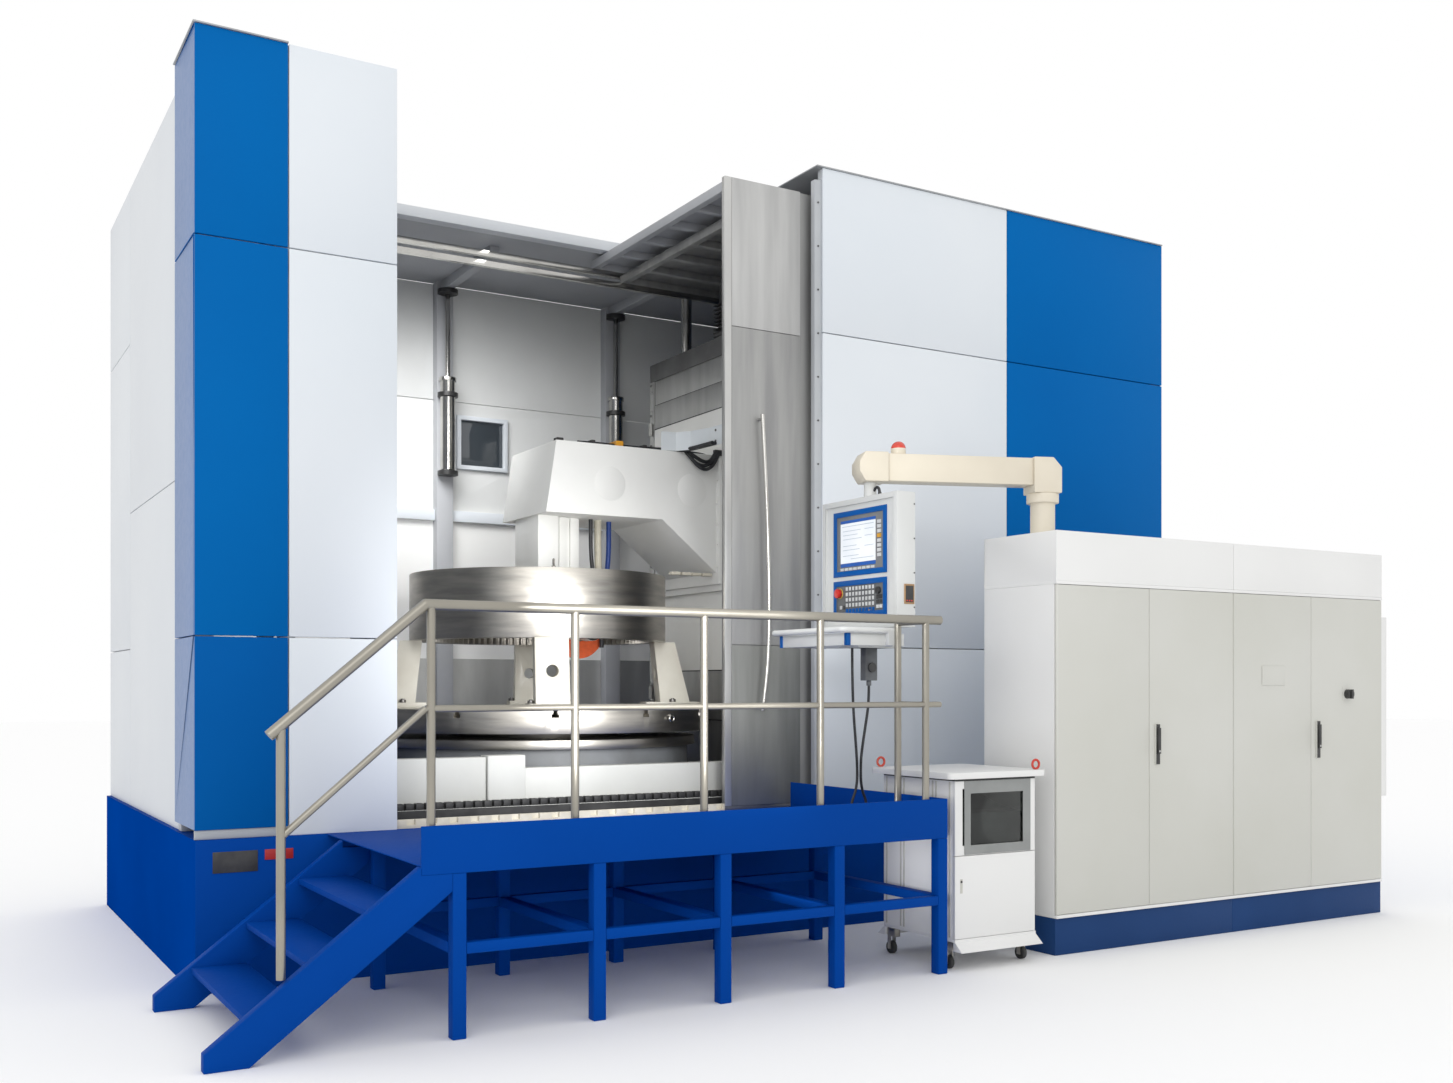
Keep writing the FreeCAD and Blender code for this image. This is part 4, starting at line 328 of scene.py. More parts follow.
# Screws of the towers: rows of steel pan heads that hold the sheet cassettes, down the
# jambs and the right rear edge.
def screw_row_tree():
    # A straight row of low round screw heads, each a twelve-sided cone frustum.
    tree = bpy.data.node_groups.new("screw_row", "GeometryNodeTree")
    for label, kind in (("Start", "NodeSocketVector"), ("Step", "NodeSocketVector"),
                        ("Turn", "NodeSocketVector"), ("Count", "NodeSocketInt"),
                        ("Radius", "NodeSocketFloat"), ("Height", "NodeSocketFloat"),
                        ("Finish", "NodeSocketMaterial")):
        tree.interface.new_socket(label, in_out="INPUT", socket_type=kind)
    tree.interface.new_socket("Geometry", in_out="OUTPUT", socket_type="NodeSocketGeometry")
    add = tree.nodes.new
    link = tree.links.new
    start = add("NodeGroupInput")
    line = add("GeometryNodeMeshLine")
    head = add("GeometryNodeMeshCone")
    head.inputs["Vertices"].default_value = 12
    crown = add("ShaderNodeMath")
    crown.operation = "MULTIPLY"
    crown.inputs[1].default_value = 0.7
    place = add("GeometryNodeInstanceOnPoints")
    real = add("GeometryNodeRealizeInstances")
    paint = add("GeometryNodeSetMaterial")
    end = add("NodeGroupOutput")
    link(start.outputs["Start"], line.inputs["Start Location"])
    link(start.outputs["Step"], line.inputs["Offset"])
    link(start.outputs["Count"], line.inputs["Count"])
    link(start.outputs["Radius"], crown.inputs[0])
    link(crown.outputs[0], head.inputs["Radius Top"])
    link(start.outputs["Radius"], head.inputs["Radius Bottom"])
    link(start.outputs["Height"], head.inputs["Depth"])
    link(line.outputs["Mesh"], place.inputs["Points"])
    link(head.outputs["Mesh"], place.inputs["Instance"])
    link(start.outputs["Turn"], place.inputs["Rotation"])
    link(place.outputs["Instances"], real.inputs["Geometry"])
    link(real.outputs["Geometry"], paint.inputs["Geometry"])
    link(start.outputs["Finish"], paint.inputs["Material"])
    link(paint.outputs["Geometry"], end.inputs["Geometry"])
    return tree


def grown(name, tree, rows, paint, body):
    # Grows each row with the tree, joins the rows in one plain mesh and lets it ride on its body.
    gathered = bmesh.new()
    for row in rows:
        seed = linked(name + "_seed", bpy.data.meshes.new(name + "_seed"))
        growth = seed.modifiers.new("growth", "NODES")
        growth.node_group = tree
        for socket in tree.interface.items_tree:
            if socket.in_out == "INPUT":
                growth[socket.identifier] = paint if socket.name == "Finish" else row[socket.name]
        solved = seed.evaluated_get(bpy.context.evaluated_depsgraph_get())
        gathered.from_mesh(bpy.data.meshes.new_from_object(solved))
        seed.modifiers.remove(growth)
        bpy.data.objects.remove(seed)
    for face in gathered.faces:
        face.material_index = 0
    data = bpy.data.meshes.new(name)
    gathered.to_mesh(data)
    gathered.free()
    data.materials.append(paint)
    piece = linked(name, data)
    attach(piece, body)


facing_front = (math.pi / 2, 0, 0)
facing_side = (0, math.pi / 2, 0)


def screws(start, step, count, turn=facing_front, radius=0.007, height=0.005):
    return {"Start": start, "Step": step, "Turn": turn, "Count": count, "Radius": radius, "Height": height}


right_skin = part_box("tower_frames")[1][0] + 0.0005
first_screw = 1.05
side_pitch = 0.42
screw_row = screw_row_tree()
screw_steel = toned("screw_steel", (0.16, 0.16, 0.16), (0.09, 0.09, 0.09), 0.35, metallic=0.8, cloud=30)
grown("tower_screws", screw_row, [
    screws((1.357, -1.507, first_screw), (0, 0, 0.29), 14),
    screws((-1.507, -1.2, first_screw), (0, 0, side_pitch), 9, turn=facing_side),
    screws((right_skin, -1.42, first_screw), (0, 0, side_pitch), 10, turn=facing_side)],
      screw_steel, "machine_frame")

# Side and back walls: painted sheet screwed on welded posts, with a ledge along
# the back wall and a small window of dark glass. Inside the back wall the paint
# above the ledge is greyer, as painted shade, and below it near white, as painted light.
white_paint = toned("white_paint", (0.70, 0.725, 0.75), (0.655, 0.68, 0.71), 0.45, cloud=0.6, grain=30,
                    shine=0.3)
# Painted shade: the inside of the back wall above the ledge is greyer, for the roof's shade on it.
upper_wall_painted_shade = toned("upper_wall_painted_shade", (0.80, 0.81, 0.80), (0.70, 0.71, 0.70), 0.42, cloud=0.8, grain=25)
window_glass = material("window_glass", (0.05, 0.06, 0.07), 0.05, coat=1.0)
softened("side_walls", 0.004, white_paint)
# Painted light: the inside of the back wall below the ledge is near white, for the light that reaches it under
# the roof.
low_wall_painted_light = toned("low_wall_painted_light", (0.93, 0.93, 0.91), (0.88, 0.88, 0.86), 0.42, cloud=0.8, grain=25)
back_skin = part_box("back_wall")[1][1]
wall_inside = 1.905
ledge_top = 3.05
softened("back_wall", 0.004, upper_wall_painted_shade, (
    (white_paint, (-far, back_skin - slack, -far), (far, far, far)),
    (low_wall_painted_light, (-far, wall_inside - 0.005, -far), (far, far, ledge_top + slack)),
    (window_glass, (0.108, -far, 3.433), (0.487, 1.94, 3.812)),
    (cool_white, (0.07, -far, 3.39), (0.53, far, 3.85)),
    (cool_white, (-far, -far, 2.95), (far, wall_inside - slack, ledge_top + 0.01))))


# Cover strips of the wall joints at the back: folded white sheet over each joint,
# held by its row of screws.
def finished(name, mesh, paints, body):
    # Writes a bmesh to a piece with its paints in order, and lets it ride on its body.
    data = bpy.data.meshes.new(name)
    mesh.to_mesh(data)
    mesh.free()
    for paint in paints:
        data.materials.append(paint)
    piece = linked(name, data)
    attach(piece, body)
    return piece


def blocks(name, boxes, width, paints, body):
    # Several blocks in one piece: each is low corner, high corner and the index of its paint.
    mesh = bmesh.new()
    for low, high, index in boxes:
        middle = [(a + b) / 2 for a, b in zip(low, high)]
        size = [b - a for a, b in zip(low, high)]
        place = Matrix.Translation(middle) @ Matrix.Diagonal((*size, 1.0))
        made = bmesh.ops.create_cube(mesh, size=1.0, matrix=place)
        for face in {face for vert in made["verts"] for face in vert.link_faces}:
            face.material_index = index
    bmesh.ops.bevel(mesh, geom=mesh.edges[:], offset=width, segments=2, profile=0.5, affect="EDGES",
                    clamp_overlap=True, material=-1)
    bmesh.ops.recalc_face_normals(mesh, faces=mesh.faces)
    finished(name, mesh, paints, body)


seams = (-0.052, 1.468, 3.067)
strip_back = back_skin - 0.0005
strip_face = back_skin + 0.005
strip_half = 0.03
across = [((-2.50, strip_back, 3.03), (4.56, strip_face - 0.0008, 3.07), 0)]
upright = [((x - strip_half, strip_back, 0.83), (x + strip_half, strip_face, 4.88), 0) for x in seams]
blocks("back_strips", upright + across, 0.002, [cool_white], "machine_frame")
grown("back_strip_screws", screw_row, [screws((x, strip_face + 0.001, 0.95), (0, 0, 0.3), 14) for x in seams]
      + [screws((-2.25, strip_face + 0.001, z), (0.38, 0, 0), 18) for z in (4.85, 0.85)]
      + [screws((right_skin, y, 1.0), (0, 0, 0.4), 10, turn=facing_side) for y in (0.34, 1.90)],
      screw_steel, "machine_frame")

# Splash plates: plain steel sheet screwed over the lowest part of the back wall,
# where coolant and sparks hit it.
splash_steel = toned("splash_steel", (0.62, 0.625, 0.61), (0.46, 0.465, 0.455), 0.34, metallic=0.6, cloud=1.2,
                     grain=60, stretch=(4, 4, 1))
plate_face = wall_inside - 0.0065
plate_back = wall_inside - 0.0002
blocks("splash_plates", [((left, plate_face, 0.86), (right, plate_back, 1.83), 0)
                         for left, right in ((-2.40, -0.124), (0.019, 1.396), (1.539, 2.996))],
       0.001, [splash_steel], "machine_frame")

# Posts at the back wall with their two polished steel rods, and the rear roof.
# Dark clamp collars hold each rod at its foot, its middle and its top.
roof_grey = toned("roof_grey", (0.46, 0.47, 0.49), (0.38, 0.39, 0.41), 0.5, cloud=1.2)
polished_steel = toned("polished_steel", (0.60, 0.59, 0.56), (0.45, 0.44, 0.42), 0.16, metallic=1.0, cloud=3)
softened("back_posts", 0.004, roof_grey, ((polished_steel, (-far, -far, 3.3), (1.6, 1.8, far)),))


def lathed(name, profiles, paints, body, sides=28, hollow=False):
    # Round parts: each is a centre, an axis, a list of (radius, distance along it) and a paint index.
    # A hollow one is an open ring, whose outline runs all the way round its section.
    mesh = bmesh.new()
    for centre, axis, outline, index in profiles:
        turn = Vector(axis).to_track_quat("Z", "Y")
        rings = []
        for radius, reach in outline:
            rings.append([])
            for side in range(sides):
                angle = 2 * math.pi * side / sides
                spoke = Vector((radius * math.cos(angle), radius * math.sin(angle), reach))
                rings[-1].append(mesh.verts.new(Vector(centre) + turn @ spoke))
        faces = []
        if not hollow:
            faces = [mesh.faces.new(rings[0]), mesh.faces.new(rings[-1])]
        flat = len(faces)
        for ring, other in zip(rings, rings[1:] + rings[:1] if hollow else rings[1:]):
            for side in range(sides):
                after = (side + 1) % sides
                faces.append(mesh.faces.new((ring[side], ring[after], other[after], other[side])))
        for face in faces:
            face.material_index = index
        for face in faces[flat:]:
            face.smooth = True
    bmesh.ops.recalc_face_normals(mesh, faces=mesh.faces)
    piece = finished(name, mesh, paints, body)
    piece.data.set_sharp_from_angle(angle=bevel_angle)


collar_dark = toned("collar_dark", (0.03, 0.03, 0.03), (0.07, 0.07, 0.07), 0.35, metallic=0.5, cloud=12)
collar_shape = ((0.072, 0), (0.083, 0.004), (0.083, 0.036), (0.072, 0.04))
upward = (0, 0, 1)
lathed("lift_rod_collars", [((x, 1.745, z), upward, collar_shape, 0)
                            for x in (-0.052, 1.4675) for z in (3.315, 3.95, 4.79)],
       [collar_dark], "machine_frame")
softened("rear_roof", 0.004, roof_grey, (
    (polished_steel, (-far, 0.41, 4.6), (far, 0.57, 4.8)),
    (white_paint, (-far, -far, 4.86), (far, 0.401, far))))

# Covers of the bed beside the table: white telescoping sheet, with the black
# cable chain in its tray in front of them.
chain_black = toned("chain_black", (0.015, 0.015, 0.016), (0.04, 0.04, 0.04), 0.5, cloud=10)
cover_white = toned("cover_white", (0.58, 0.585, 0.56), (0.50, 0.505, 0.48), 0.45, cloud=1.6, grain=30,
                    shine=0.3)
tray_back = -1.231
tray_top = 0.93
softened("bed_covers", 0.005, cover_white, ((chain_black, (-far, -far, -far), (far, tray_back, tray_top)),))

# Rotary table of ground steel with T-slots, and the toothed work ring on four cream
# cast pillars, which studs and nuts clamp to the table.
pillar_cream = toned("pillar_cream", (0.58, 0.56, 0.49), (0.50, 0.47, 0.40), 0.42, coat=0.1, cloud=4, grain=40)
nut_steel = toned("nut_steel", (0.22, 0.21, 0.20), (0.12, 0.12, 0.12), 0.4, metallic=0.9, cloud=20)
softened("rotary_table", 0.004, ground_steel)
table_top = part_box("rotary_table")[1][2]
nut_half = 0.03
nut_reach = 0.065
nut_zones = []
for x, y in ((-0.419, -0.849), (-0.170, -0.931)):
    for _ in range(4):
        nut_zones.append((nut_steel, (x - nut_half, y - nut_half, table_top - slack),
                          (x + nut_half, y + nut_half, table_top + nut_reach)))
        x, y = -y, x
softened("fixture_pillars", 0.006, pillar_cream, nut_zones)
softened("work_ring", 0.003, ground_steel)

# Eye bolt of forged steel, screwed in the rim of the table so that the crane
# can lift it.
eye_centre = (0.4559, -1.1284, 1.39)
eye_radius = 0.022
rim_run = (0.927, 0.375)
eye_steps = 16
eye_ring = []
for step in range(eye_steps + 1):
    angle = 2 * math.pi * step / eye_steps
    reach = eye_radius * math.sin(angle)
    eye_ring.append((eye_centre[0] + rim_run[0] * reach, eye_centre[1] + rim_run[1] * reach,
                     eye_centre[2] + eye_radius * math.cos(angle)))
eye_shank = [(0.4485, -1.11, 1.412), (0.4559, -1.1284, 1.412)]
table_eye = tube_curve("table_eye", [eye_ring, eye_shank], 0.006)
table_eye.data.materials.append(polished_steel)
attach(table_eye, "work_table")

# Column with its covers, and the arm that carries the grinding head on its carriage:
# painted castings, with bare steel ways and telescoping covers of bare sheet.
cover_steel = toned("cover_steel", (0.50, 0.50, 0.49), (0.40, 0.40, 0.39), 0.35, metallic=0.85, cloud=1.5,
                    grain=120, stretch=(1, 6, 1))
column_grey = toned("column_grey", (0.55, 0.56, 0.56), (0.44, 0.45, 0.45), 0.45, cloud=1.2)
cap_dark = toned("cap_dark", (0.10, 0.10, 0.10), (0.06, 0.06, 0.06), 0.5, cloud=5)
motor_black = toned("motor_black", (0.02, 0.02, 0.022), (0.05, 0.05, 0.05), 0.45, cloud=9)
arm_white = toned("arm_white", (0.90, 0.90, 0.87), (0.83, 0.83, 0.80), 0.42, coat=0.1, cloud=1.6, grain=35)
# Painted shade: the underside of the arm's foot is a dull brownish grey, for the shade under it.
arm_underside_painted_shade = toned("arm_underside_painted_shade", (0.42, 0.39, 0.31), (0.34, 0.315, 0.25), 0.5, cloud=3)
column_top = 4.03
cap_plate_top = 4.171
softened("column_casting", 0.005, column_grey, ((ground_steel, (1.3, -0.6, 1.0), (1.43, 0.6, column_top)),))
softened("column_cap", 0.006, cap_dark, (
    (motor_black, (1.4, -0.3, cap_plate_top), (1.8, 0.1, far)),
    (polished_steel, (1.3, 0.3, cap_plate_top), (1.6, 0.6, far))))
for node in ("column_covers", "upper_cover_middle", "lower_cover_middle"):
    softened(node, 0.001, cover_steel)
softened("carriage", 0.004, arm_white)
softened("grinding_arm", 0.008, arm_white, ((arm_underside_painted_shade, (0.79, -0.38, 2.42), (1.224, 0.38, 2.785)),))
softened("grinding_post", 0.005, arm_white, ((motor_black, (0.2, -far, 1.9), (0.4, -0.136, 2.1)),))

# Coolant hoses from the arm down to the head: one black, one blue and one pale
# rubber hose, pushed on the fittings of a manifold.
hose_black = toned("hose_black", (0.02, 0.02, 0.022), (0.04, 0.04, 0.045), 0.4, cloud=14)
hose_cream = toned("hose_cream", (0.62, 0.58, 0.47), (0.5, 0.47, 0.38), 0.4, cloud=14)
hose_blue = toned("hose_blue", (0.01, 0.05, 0.25), (0.01, 0.04, 0.2), 0.4, cloud=14)
manifold_top = 2.153
softened("coolant_hoses", 0.0, hose_black, (
    (hose_blue, (0.4525, -0.0755, manifold_top), (far, -0.0385, far)),
    (hose_cream, (0.385, -0.1215, manifold_top), (0.4575, -0.0685, far))))

# Wipers of black rubber along the edges of the sliding covers, glued under each
# lip, where they keep grit off the ways.
wiper_black = toned("wiper_black", (0.02, 0.02, 0.02), (0.05, 0.05, 0.05), 0.6, cloud=20)
wiper_half = 0.675
wiper_edge = 0.0004
for cover, low, high in (("upper_cover", 3.8362, 3.84), ("lower_cover", 1.349, 1.357)):
    blocks(cover + "_wiper", [((1.2885, -wiper_half, low), (1.2898, wiper_half, high), 0)], wiper_edge,
           [wiper_black], cover)
blocks("carriage_wipers", [((1.2845, -wiper_half, z), (1.2858, wiper_half, z + 0.008), 0)
                           for z in (3.642, 1.715)], wiper_edge, [wiper_black], "carriage")

# Screws of the column's cover strips, and the four limit switches of the lift
# beside them in grey plastic cases.
switch_grey = toned("switch_grey", (0.5, 0.5, 0.48), (0.4, 0.4, 0.38), 0.45, cloud=20)
strip_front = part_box("column_covers")[0][0] - 0.0005
grown("column_strip_screws", screw_row, [
    screws((strip_front, y, 1.12), (0, 0, 0.24), 13, turn=(0, -math.pi / 2, 0), radius=0.011)
    for y in (-0.723, 0.723)], screw_steel, "column")
blocks("limit_switches", [((strip_front - 0.011, y, z), (strip_front, y + 0.045, z + 0.10), 0)
                          for y in (-0.745, 0.70) for z in (3.60, 1.50)], 0.004, [switch_grey],
       "column")

# Cable guide: a bent sheet of white painted steel, screwed to the carriage, that
# leads the arm's cables round to the side wall.
cable_guide_white = toned("cable_guide_white", (0.72, 0.76, 0.78), (0.66, 0.70, 0.73), 0.4, coat=0.1, cloud=3)
guide_path = ((0.776, -0.383), (0.885, -0.402), (0.955, -0.50), (1.0, -0.68), (1.012, -0.86))
guide_low = 3.287
guide_high = 3.42
guide_sheet = 0.005
guide = bmesh.new()
bends = []
for x, y in guide_path:
    bends.append([guide.verts.new((x + shift, y + shift, z)) for shift, z in
                  ((0, guide_low), (guide_sheet, guide_low), (guide_sheet, guide_high), (0, guide_high))])
guide.faces.new(bends[0])
guide.faces.new(bends[-1])
for bend, other in zip(bends, bends[1:]):
    for side in range(4):
        after = (side + 1) % 4
        guide.faces.new((bend[side], bend[after], other[after], other[side]))
bmesh.ops.recalc_face_normals(guide, faces=guide.faces)
finished("cable_guide", guide, [cable_guide_white], "carriage")
guide_screw = ((0.009, 0), (0.009, 0.004), (0.006, 0.007))
lathed("cable_guide_screws", [((1.007, -0.7605, z), (-0.97, -0.23, 0), guide_screw, 0) for z in (3.315, 3.39)],
       [screw_steel], "carriage", sides=12)

# Cables on top of the arm: black rubber sheaths, held by dark plastic clips and
# one yellow clamp.
cable_radius = 0.013
arm_cables = tube_curve("arm_cables", [
    [(0.16, -0.30, 3.299), (0.3, -0.315, 3.301), (0.5, -0.30, 3.299), (0.68, -0.31, 3.301), (0.8, -0.33, 3.30),
     (0.96, -0.40, 3.30), (0.985, -0.52, 3.296), (0.99, -0.78, 3.296)],
    [(0.19, -0.25, 3.299), (0.34, -0.27, 3.303), (0.55, -0.26, 3.299), (0.8, -0.30, 3.30), (0.93, -0.37, 3.30),
     (0.965, -0.52, 3.297), (0.968, -0.78, 3.297)],
    [(0.24, -0.20, 3.299), (0.42, -0.22, 3.302), (0.62, -0.21, 3.30), (0.84, -0.24, 3.30), (0.94, -0.30, 3.30),
     (1.18, -0.31, 3.30), (1.24, -0.31, 3.27)],
    [(0.955, -0.40, 3.30), (0.985, -0.425, 3.25), (1.03, -0.445, 3.20), (1.09, -0.45, 3.185),
     (1.16, -0.445, 3.22), (1.20, -0.435, 3.28), (1.225, -0.425, 3.30)],
    [(0.965, -0.40, 3.30), (1.0, -0.43, 3.235), (1.05, -0.447, 3.175), (1.11, -0.455, 3.16),
     (1.17, -0.447, 3.20), (1.21, -0.437, 3.27), (1.235, -0.425, 3.30)],
    [(0.975, -0.40, 3.30), (1.02, -0.42, 3.26), (1.08, -0.435, 3.225), (1.13, -0.437, 3.22),
     (1.17, -0.432, 3.25), (1.20, -0.425, 3.30)]], cable_radius, sides=3)
arm_cables.data.materials.append(cable_rubber)
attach(arm_cables, "carriage")
clamp_yellow = toned("clamp_yellow", (0.70, 0.33, 0.02), (0.62, 0.28, 0.02), 0.4, cloud=20)
clip_dark = toned("clip_dark", (0.02, 0.02, 0.02), (0.05, 0.05, 0.05), 0.5, cloud=20)
arm_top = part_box("grinding_arm")[1][2] + 0.0005
blocks("arm_cable_clips", [
    ((0.44, -0.345, arm_top), (0.495, -0.18, 3.33), 0), ((0.255, -0.33, arm_top), (0.285, -0.17, 3.322), 1),
    ((0.66, -0.33, arm_top), (0.69, -0.18, 3.322), 1), ((0.94, -0.41, arm_top), (1.0, -0.35, 3.318), 1),
    ((1.19, -0.437, 3.275), (1.25, -0.405, 3.318), 1), ((-0.02, -0.36, arm_top), (0.03, -0.3, 3.31), 1)],
       0.003, [clamp_yellow, clip_dark], "carriage")

# Spacer blocks of cream painted steel, bolted under the arm's foot, and the cast
# cooling fins round the column's motor.
foot_cream = toned("foot_cream", (0.66, 0.62, 0.52), (0.55, 0.52, 0.43), 0.45, cloud=12)
arm_foot = 2.4265
blocks("arm_foot_blocks", [((x, -0.36, 2.405), (x + 0.072, -0.31, arm_foot), 0)
                           for x in (0.875, 0.963, 1.050, 1.137)],
       0.003, [foot_cream], "carriage")
fin_levels = [4.25 + 0.03 * step for step in range(9)]
blocks("motor_fins", [((1.434, -0.246, z), (1.686, 0.006, z + 0.007), 0) for z in fin_levels],
       0.001, [motor_black], "column")

# Grinding wheel of bonded red abrasive grain, clamped between the two ground steel
# flanges of its spindle.
abrasive_red = toned("abrasive_red", (0.85, 0.15, 0.045), (0.68, 0.11, 0.04), 0.85, cloud=20, grain=700,
                     bump=0.3)
softened("grinding_wheel", 0.002, abrasive_red)
softened("wheel_spindle", 0.001, ground_steel)

# Sliding door: two leaves of folded and brushed stainless sheet, each with its own
# strip of roof, which run in the floor tracks.
door_steel = toned("door_steel", (0.42, 0.42, 0.41), (0.31, 0.31, 0.31), 0.36, metallic=0.75, cloud=1.1,
                   grain=90, stretch=(9, 9, 0.7), bump=0.03, spread=0.2)
door_light = toned("door_light", (0.60, 0.60, 0.58), (0.50, 0.50, 0.49), 0.3, metallic=0.7, cloud=1.5)
door_steel_top = toned("door_steel_top", (0.56, 0.56, 0.55), (0.44, 0.44, 0.435), 0.36, metallic=0.7, cloud=1.1,
                       grain=90, stretch=(9, 9, 0.7), bump=0.03, spread=0.2)
door_steel_low = toned("door_steel_low", (0.31, 0.315, 0.30), (0.22, 0.225, 0.215), 0.38, metallic=0.75,
                       cloud=1.1, grain=90, stretch=(9, 9, 0.7), bump=0.03, spread=0.2)
panel_back = -1.424
panel_left = 0.724
upper_joint = 3.93
lower_joint = 1.87
softened("front_door_leaf", 0.003, door_steel, (
    (door_steel_top, (panel_left, -1.446, upper_joint), (far, panel_back, far)),
    (door_steel_low, (panel_left, -1.446, -far), (far, panel_back, lower_joint)),
    (door_light, (-far, -1.45, -far), (panel_left - 0.0005, panel_back, far)),
    (polished_steel, (0.9, -far, -far), (1.0, -1.4451, far)),
    (roof_grey, (-far, -1.4055, 4.79), (far, far, far))))
softened("rear_door_leaf", 0.003, door_steel)

# Platform, stair and handrail: blue painted steel, welded from plate and square
# tube, under a stainless tube rail on screwed base plates.
rail_steel = toned("rail_steel", (0.37, 0.35, 0.30), (0.31, 0.29, 0.25), 0.34, metallic=0.85, cloud=2, grain=20,
                   bump=0.0, spread=0.04, shine=0.6)
softened("platform_deck", 0.003, base_blue)
softened("platform_frame", 0.005, base_blue)
softened("stairs", 0.003, base_blue)
softened("handrail", 0.0, rail_steel)

# Electrical cabinet: folded and painted sheet, with four white hinged doors over
# a blue plinth and a cooling unit on its side.
# Painted shade: the four doors are a darker, warmer white than the carcass, for the shade on the cabinet's
# front against its lit side.
door_white_painted_shade = toned("door_white_painted_shade", (0.60, 0.60, 0.56), (0.56, 0.56, 0.51), 0.42, coat=0.1, cloud=0.9, grain=30)
cabinet_white = toned("cabinet_white", (0.80, 0.80, 0.79), (0.75, 0.75, 0.74), 0.42, coat=0.1, cloud=0.7,
                      grain=30)
plinth_blue = toned("plinth_blue", (0.010, 0.044, 0.15), (0.014, 0.055, 0.18), 0.5, cloud=1.5, shine=0.15)
handle_black = toned("handle_black", (0.02, 0.02, 0.02), (0.05, 0.05, 0.05), 0.4, cloud=9)
plinth_top = 0.22
door_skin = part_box("cabinet_door_1")[0][1]
softened("cabinet_carcass", 0.004, cabinet_white, (
    (plinth_blue, (-far, -far, -far), (5.2, far, plinth_top + slack)),))
for index in range(1, 5):
    softened("cabinet_door_%d" % index, 0.003, door_white_painted_shade, (
        (handle_black, (-far, -far, 1.0), (far, door_skin - 0.0005, 1.4)),))
for node in ("lock_lever_2", "lock_lever_4", "main_switch"):
    softened(node, 0.002, handle_black)

# Lock cylinders of the cabinet: turned discs of bare steel, pressed in the foot of
# each lever.
lock_silver = toned("lock_silver", (0.62, 0.62, 0.60), (0.5, 0.5, 0.49), 0.25, metallic=1.0, cloud=20)
forward = (0, -1, 0)
cylinder_shape = ((0.007, 0), (0.007, 0.0012), (0.006, 0.002))
for index in (2, 4):
    lever = "lock_lever_%d" % index
    lever_low, lever_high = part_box(lever)
    centre = ((lever_low[0] + lever_high[0]) / 2, lever_low[1] + 0.0002, lever_low[2] + 0.016)
    lathed("lock_cylinder_%d" % index, [(centre, forward, cylinder_shape, 0)], [lock_silver], lever,
           sides=16)

# Pendant: cream welded swing arm with its red beacon, white sheet case with blue
# bezels, and the tray of folded sheet below it.
beam_cream = toned("beam_cream", (0.74, 0.68, 0.56), (0.66, 0.60, 0.49), 0.4, coat=0.1, cloud=2)
case_white = toned("case_white", (0.60, 0.61, 0.60), (0.56, 0.57, 0.56), 0.35, coat=0.2, cloud=2)
beacon_red = toned("beacon_red", (0.65, 0.05, 0.02), (0.5, 0.03, 0.02), 0.2, coat=0.6, cloud=9)
bezel_blue = toned("bezel_blue", (0.0, 0.085, 0.33), (0.0, 0.07, 0.28), 0.4, cloud=4, shine=0.2)
key_grey = toned("key_grey", (0.58, 0.59, 0.59), (0.48, 0.49, 0.50), 0.5, cloud=14)
panel_dark = toned("panel_dark", (0.10, 0.105, 0.11), (0.13, 0.135, 0.14), 0.4, cloud=8)
surround_grey = toned("surround_grey", (0.17, 0.175, 0.18), (0.14, 0.145, 0.15), 0.4, cloud=8)
unit_grey = toned("unit_grey", (0.13, 0.14, 0.15), (0.09, 0.095, 0.10), 0.45, cloud=12)
tray_white = toned("tray_white", (0.66, 0.67, 0.66), (0.60, 0.61, 0.60), 0.4, coat=0.1, cloud=3)
softened("pendant_post", 0.004, beam_cream)
arm_top_face = 2.998
bezel_near = -2.621
bezel_far = -2.153
keys_low = 2.049
keys_high = 2.211
softened("pendant_arm", 0.008, beam_cream, ((beacon_red, (1.2, -2.6, arm_top_face), (1.4, -2.3, far)),))
softened("pendant_case", 0.005, case_white)
softened("control_panel", 0.001, bezel_blue, (
    (surround_grey, (1.0505, bezel_near, 2.299), (far, bezel_far, 2.632)),
    (key_grey, (-far, bezel_near, keys_low), (1.0475, bezel_far, keys_high)),
    (panel_dark, (-far, bezel_near, keys_low), (far, bezel_far, keys_high))))
softened("keyboard_tray", 0.003, tray_white, (
    (unit_grey, (0.73, -2.71, 1.844), (1.03, -2.06, 1.876)),
    (unit_grey, (0.8, -2.7, -far), (1.2, -2.4, 1.8349))))

# Screen: lit white glass between two blue bands, with rows of pale grey fields, and
# the moulded soft keys below and beside it, one of them amber.
screen_back = 1.0512
screen_white = toned("screen_white", (0.93, 0.95, 0.97), (0.84, 0.88, 0.92), 0.12, coat=0.6, cloud=5)
screen_blue = toned("screen_blue", (0.01, 0.10, 0.42), (0.01, 0.08, 0.36), 0.25, cloud=8)
line_grey = toned("line_grey", (0.42, 0.48, 0.55), (0.36, 0.42, 0.50), 0.3, cloud=9)
key_amber = toned("key_amber", (0.62, 0.33, 0.04), (0.55, 0.28, 0.03), 0.4, cloud=20)
glass_face = 1.0485
key_face = 1.0465
screen_parts = [((glass_face, -2.546, low), (screen_back, -2.196, high), paint)
                for low, high, paint in ((2.347, 2.588, 0), (2.589, 2.606, 1), (2.325, 2.346, 1))]
screen_parts.append(((1.0455, -2.6, 2.478), (screen_back, -2.566, 2.5), 4))
for step in range(8):
    z = 2.366 + 0.028 * step
    if step != 4:
        screen_parts.append(((key_face, -2.600, z), (screen_back, -2.566, z + 0.020), 3))
    y = -2.536 + 0.044 * step
    screen_parts.append(((key_face, y, 2.303), (screen_back, y + 0.032, 2.318), 3))
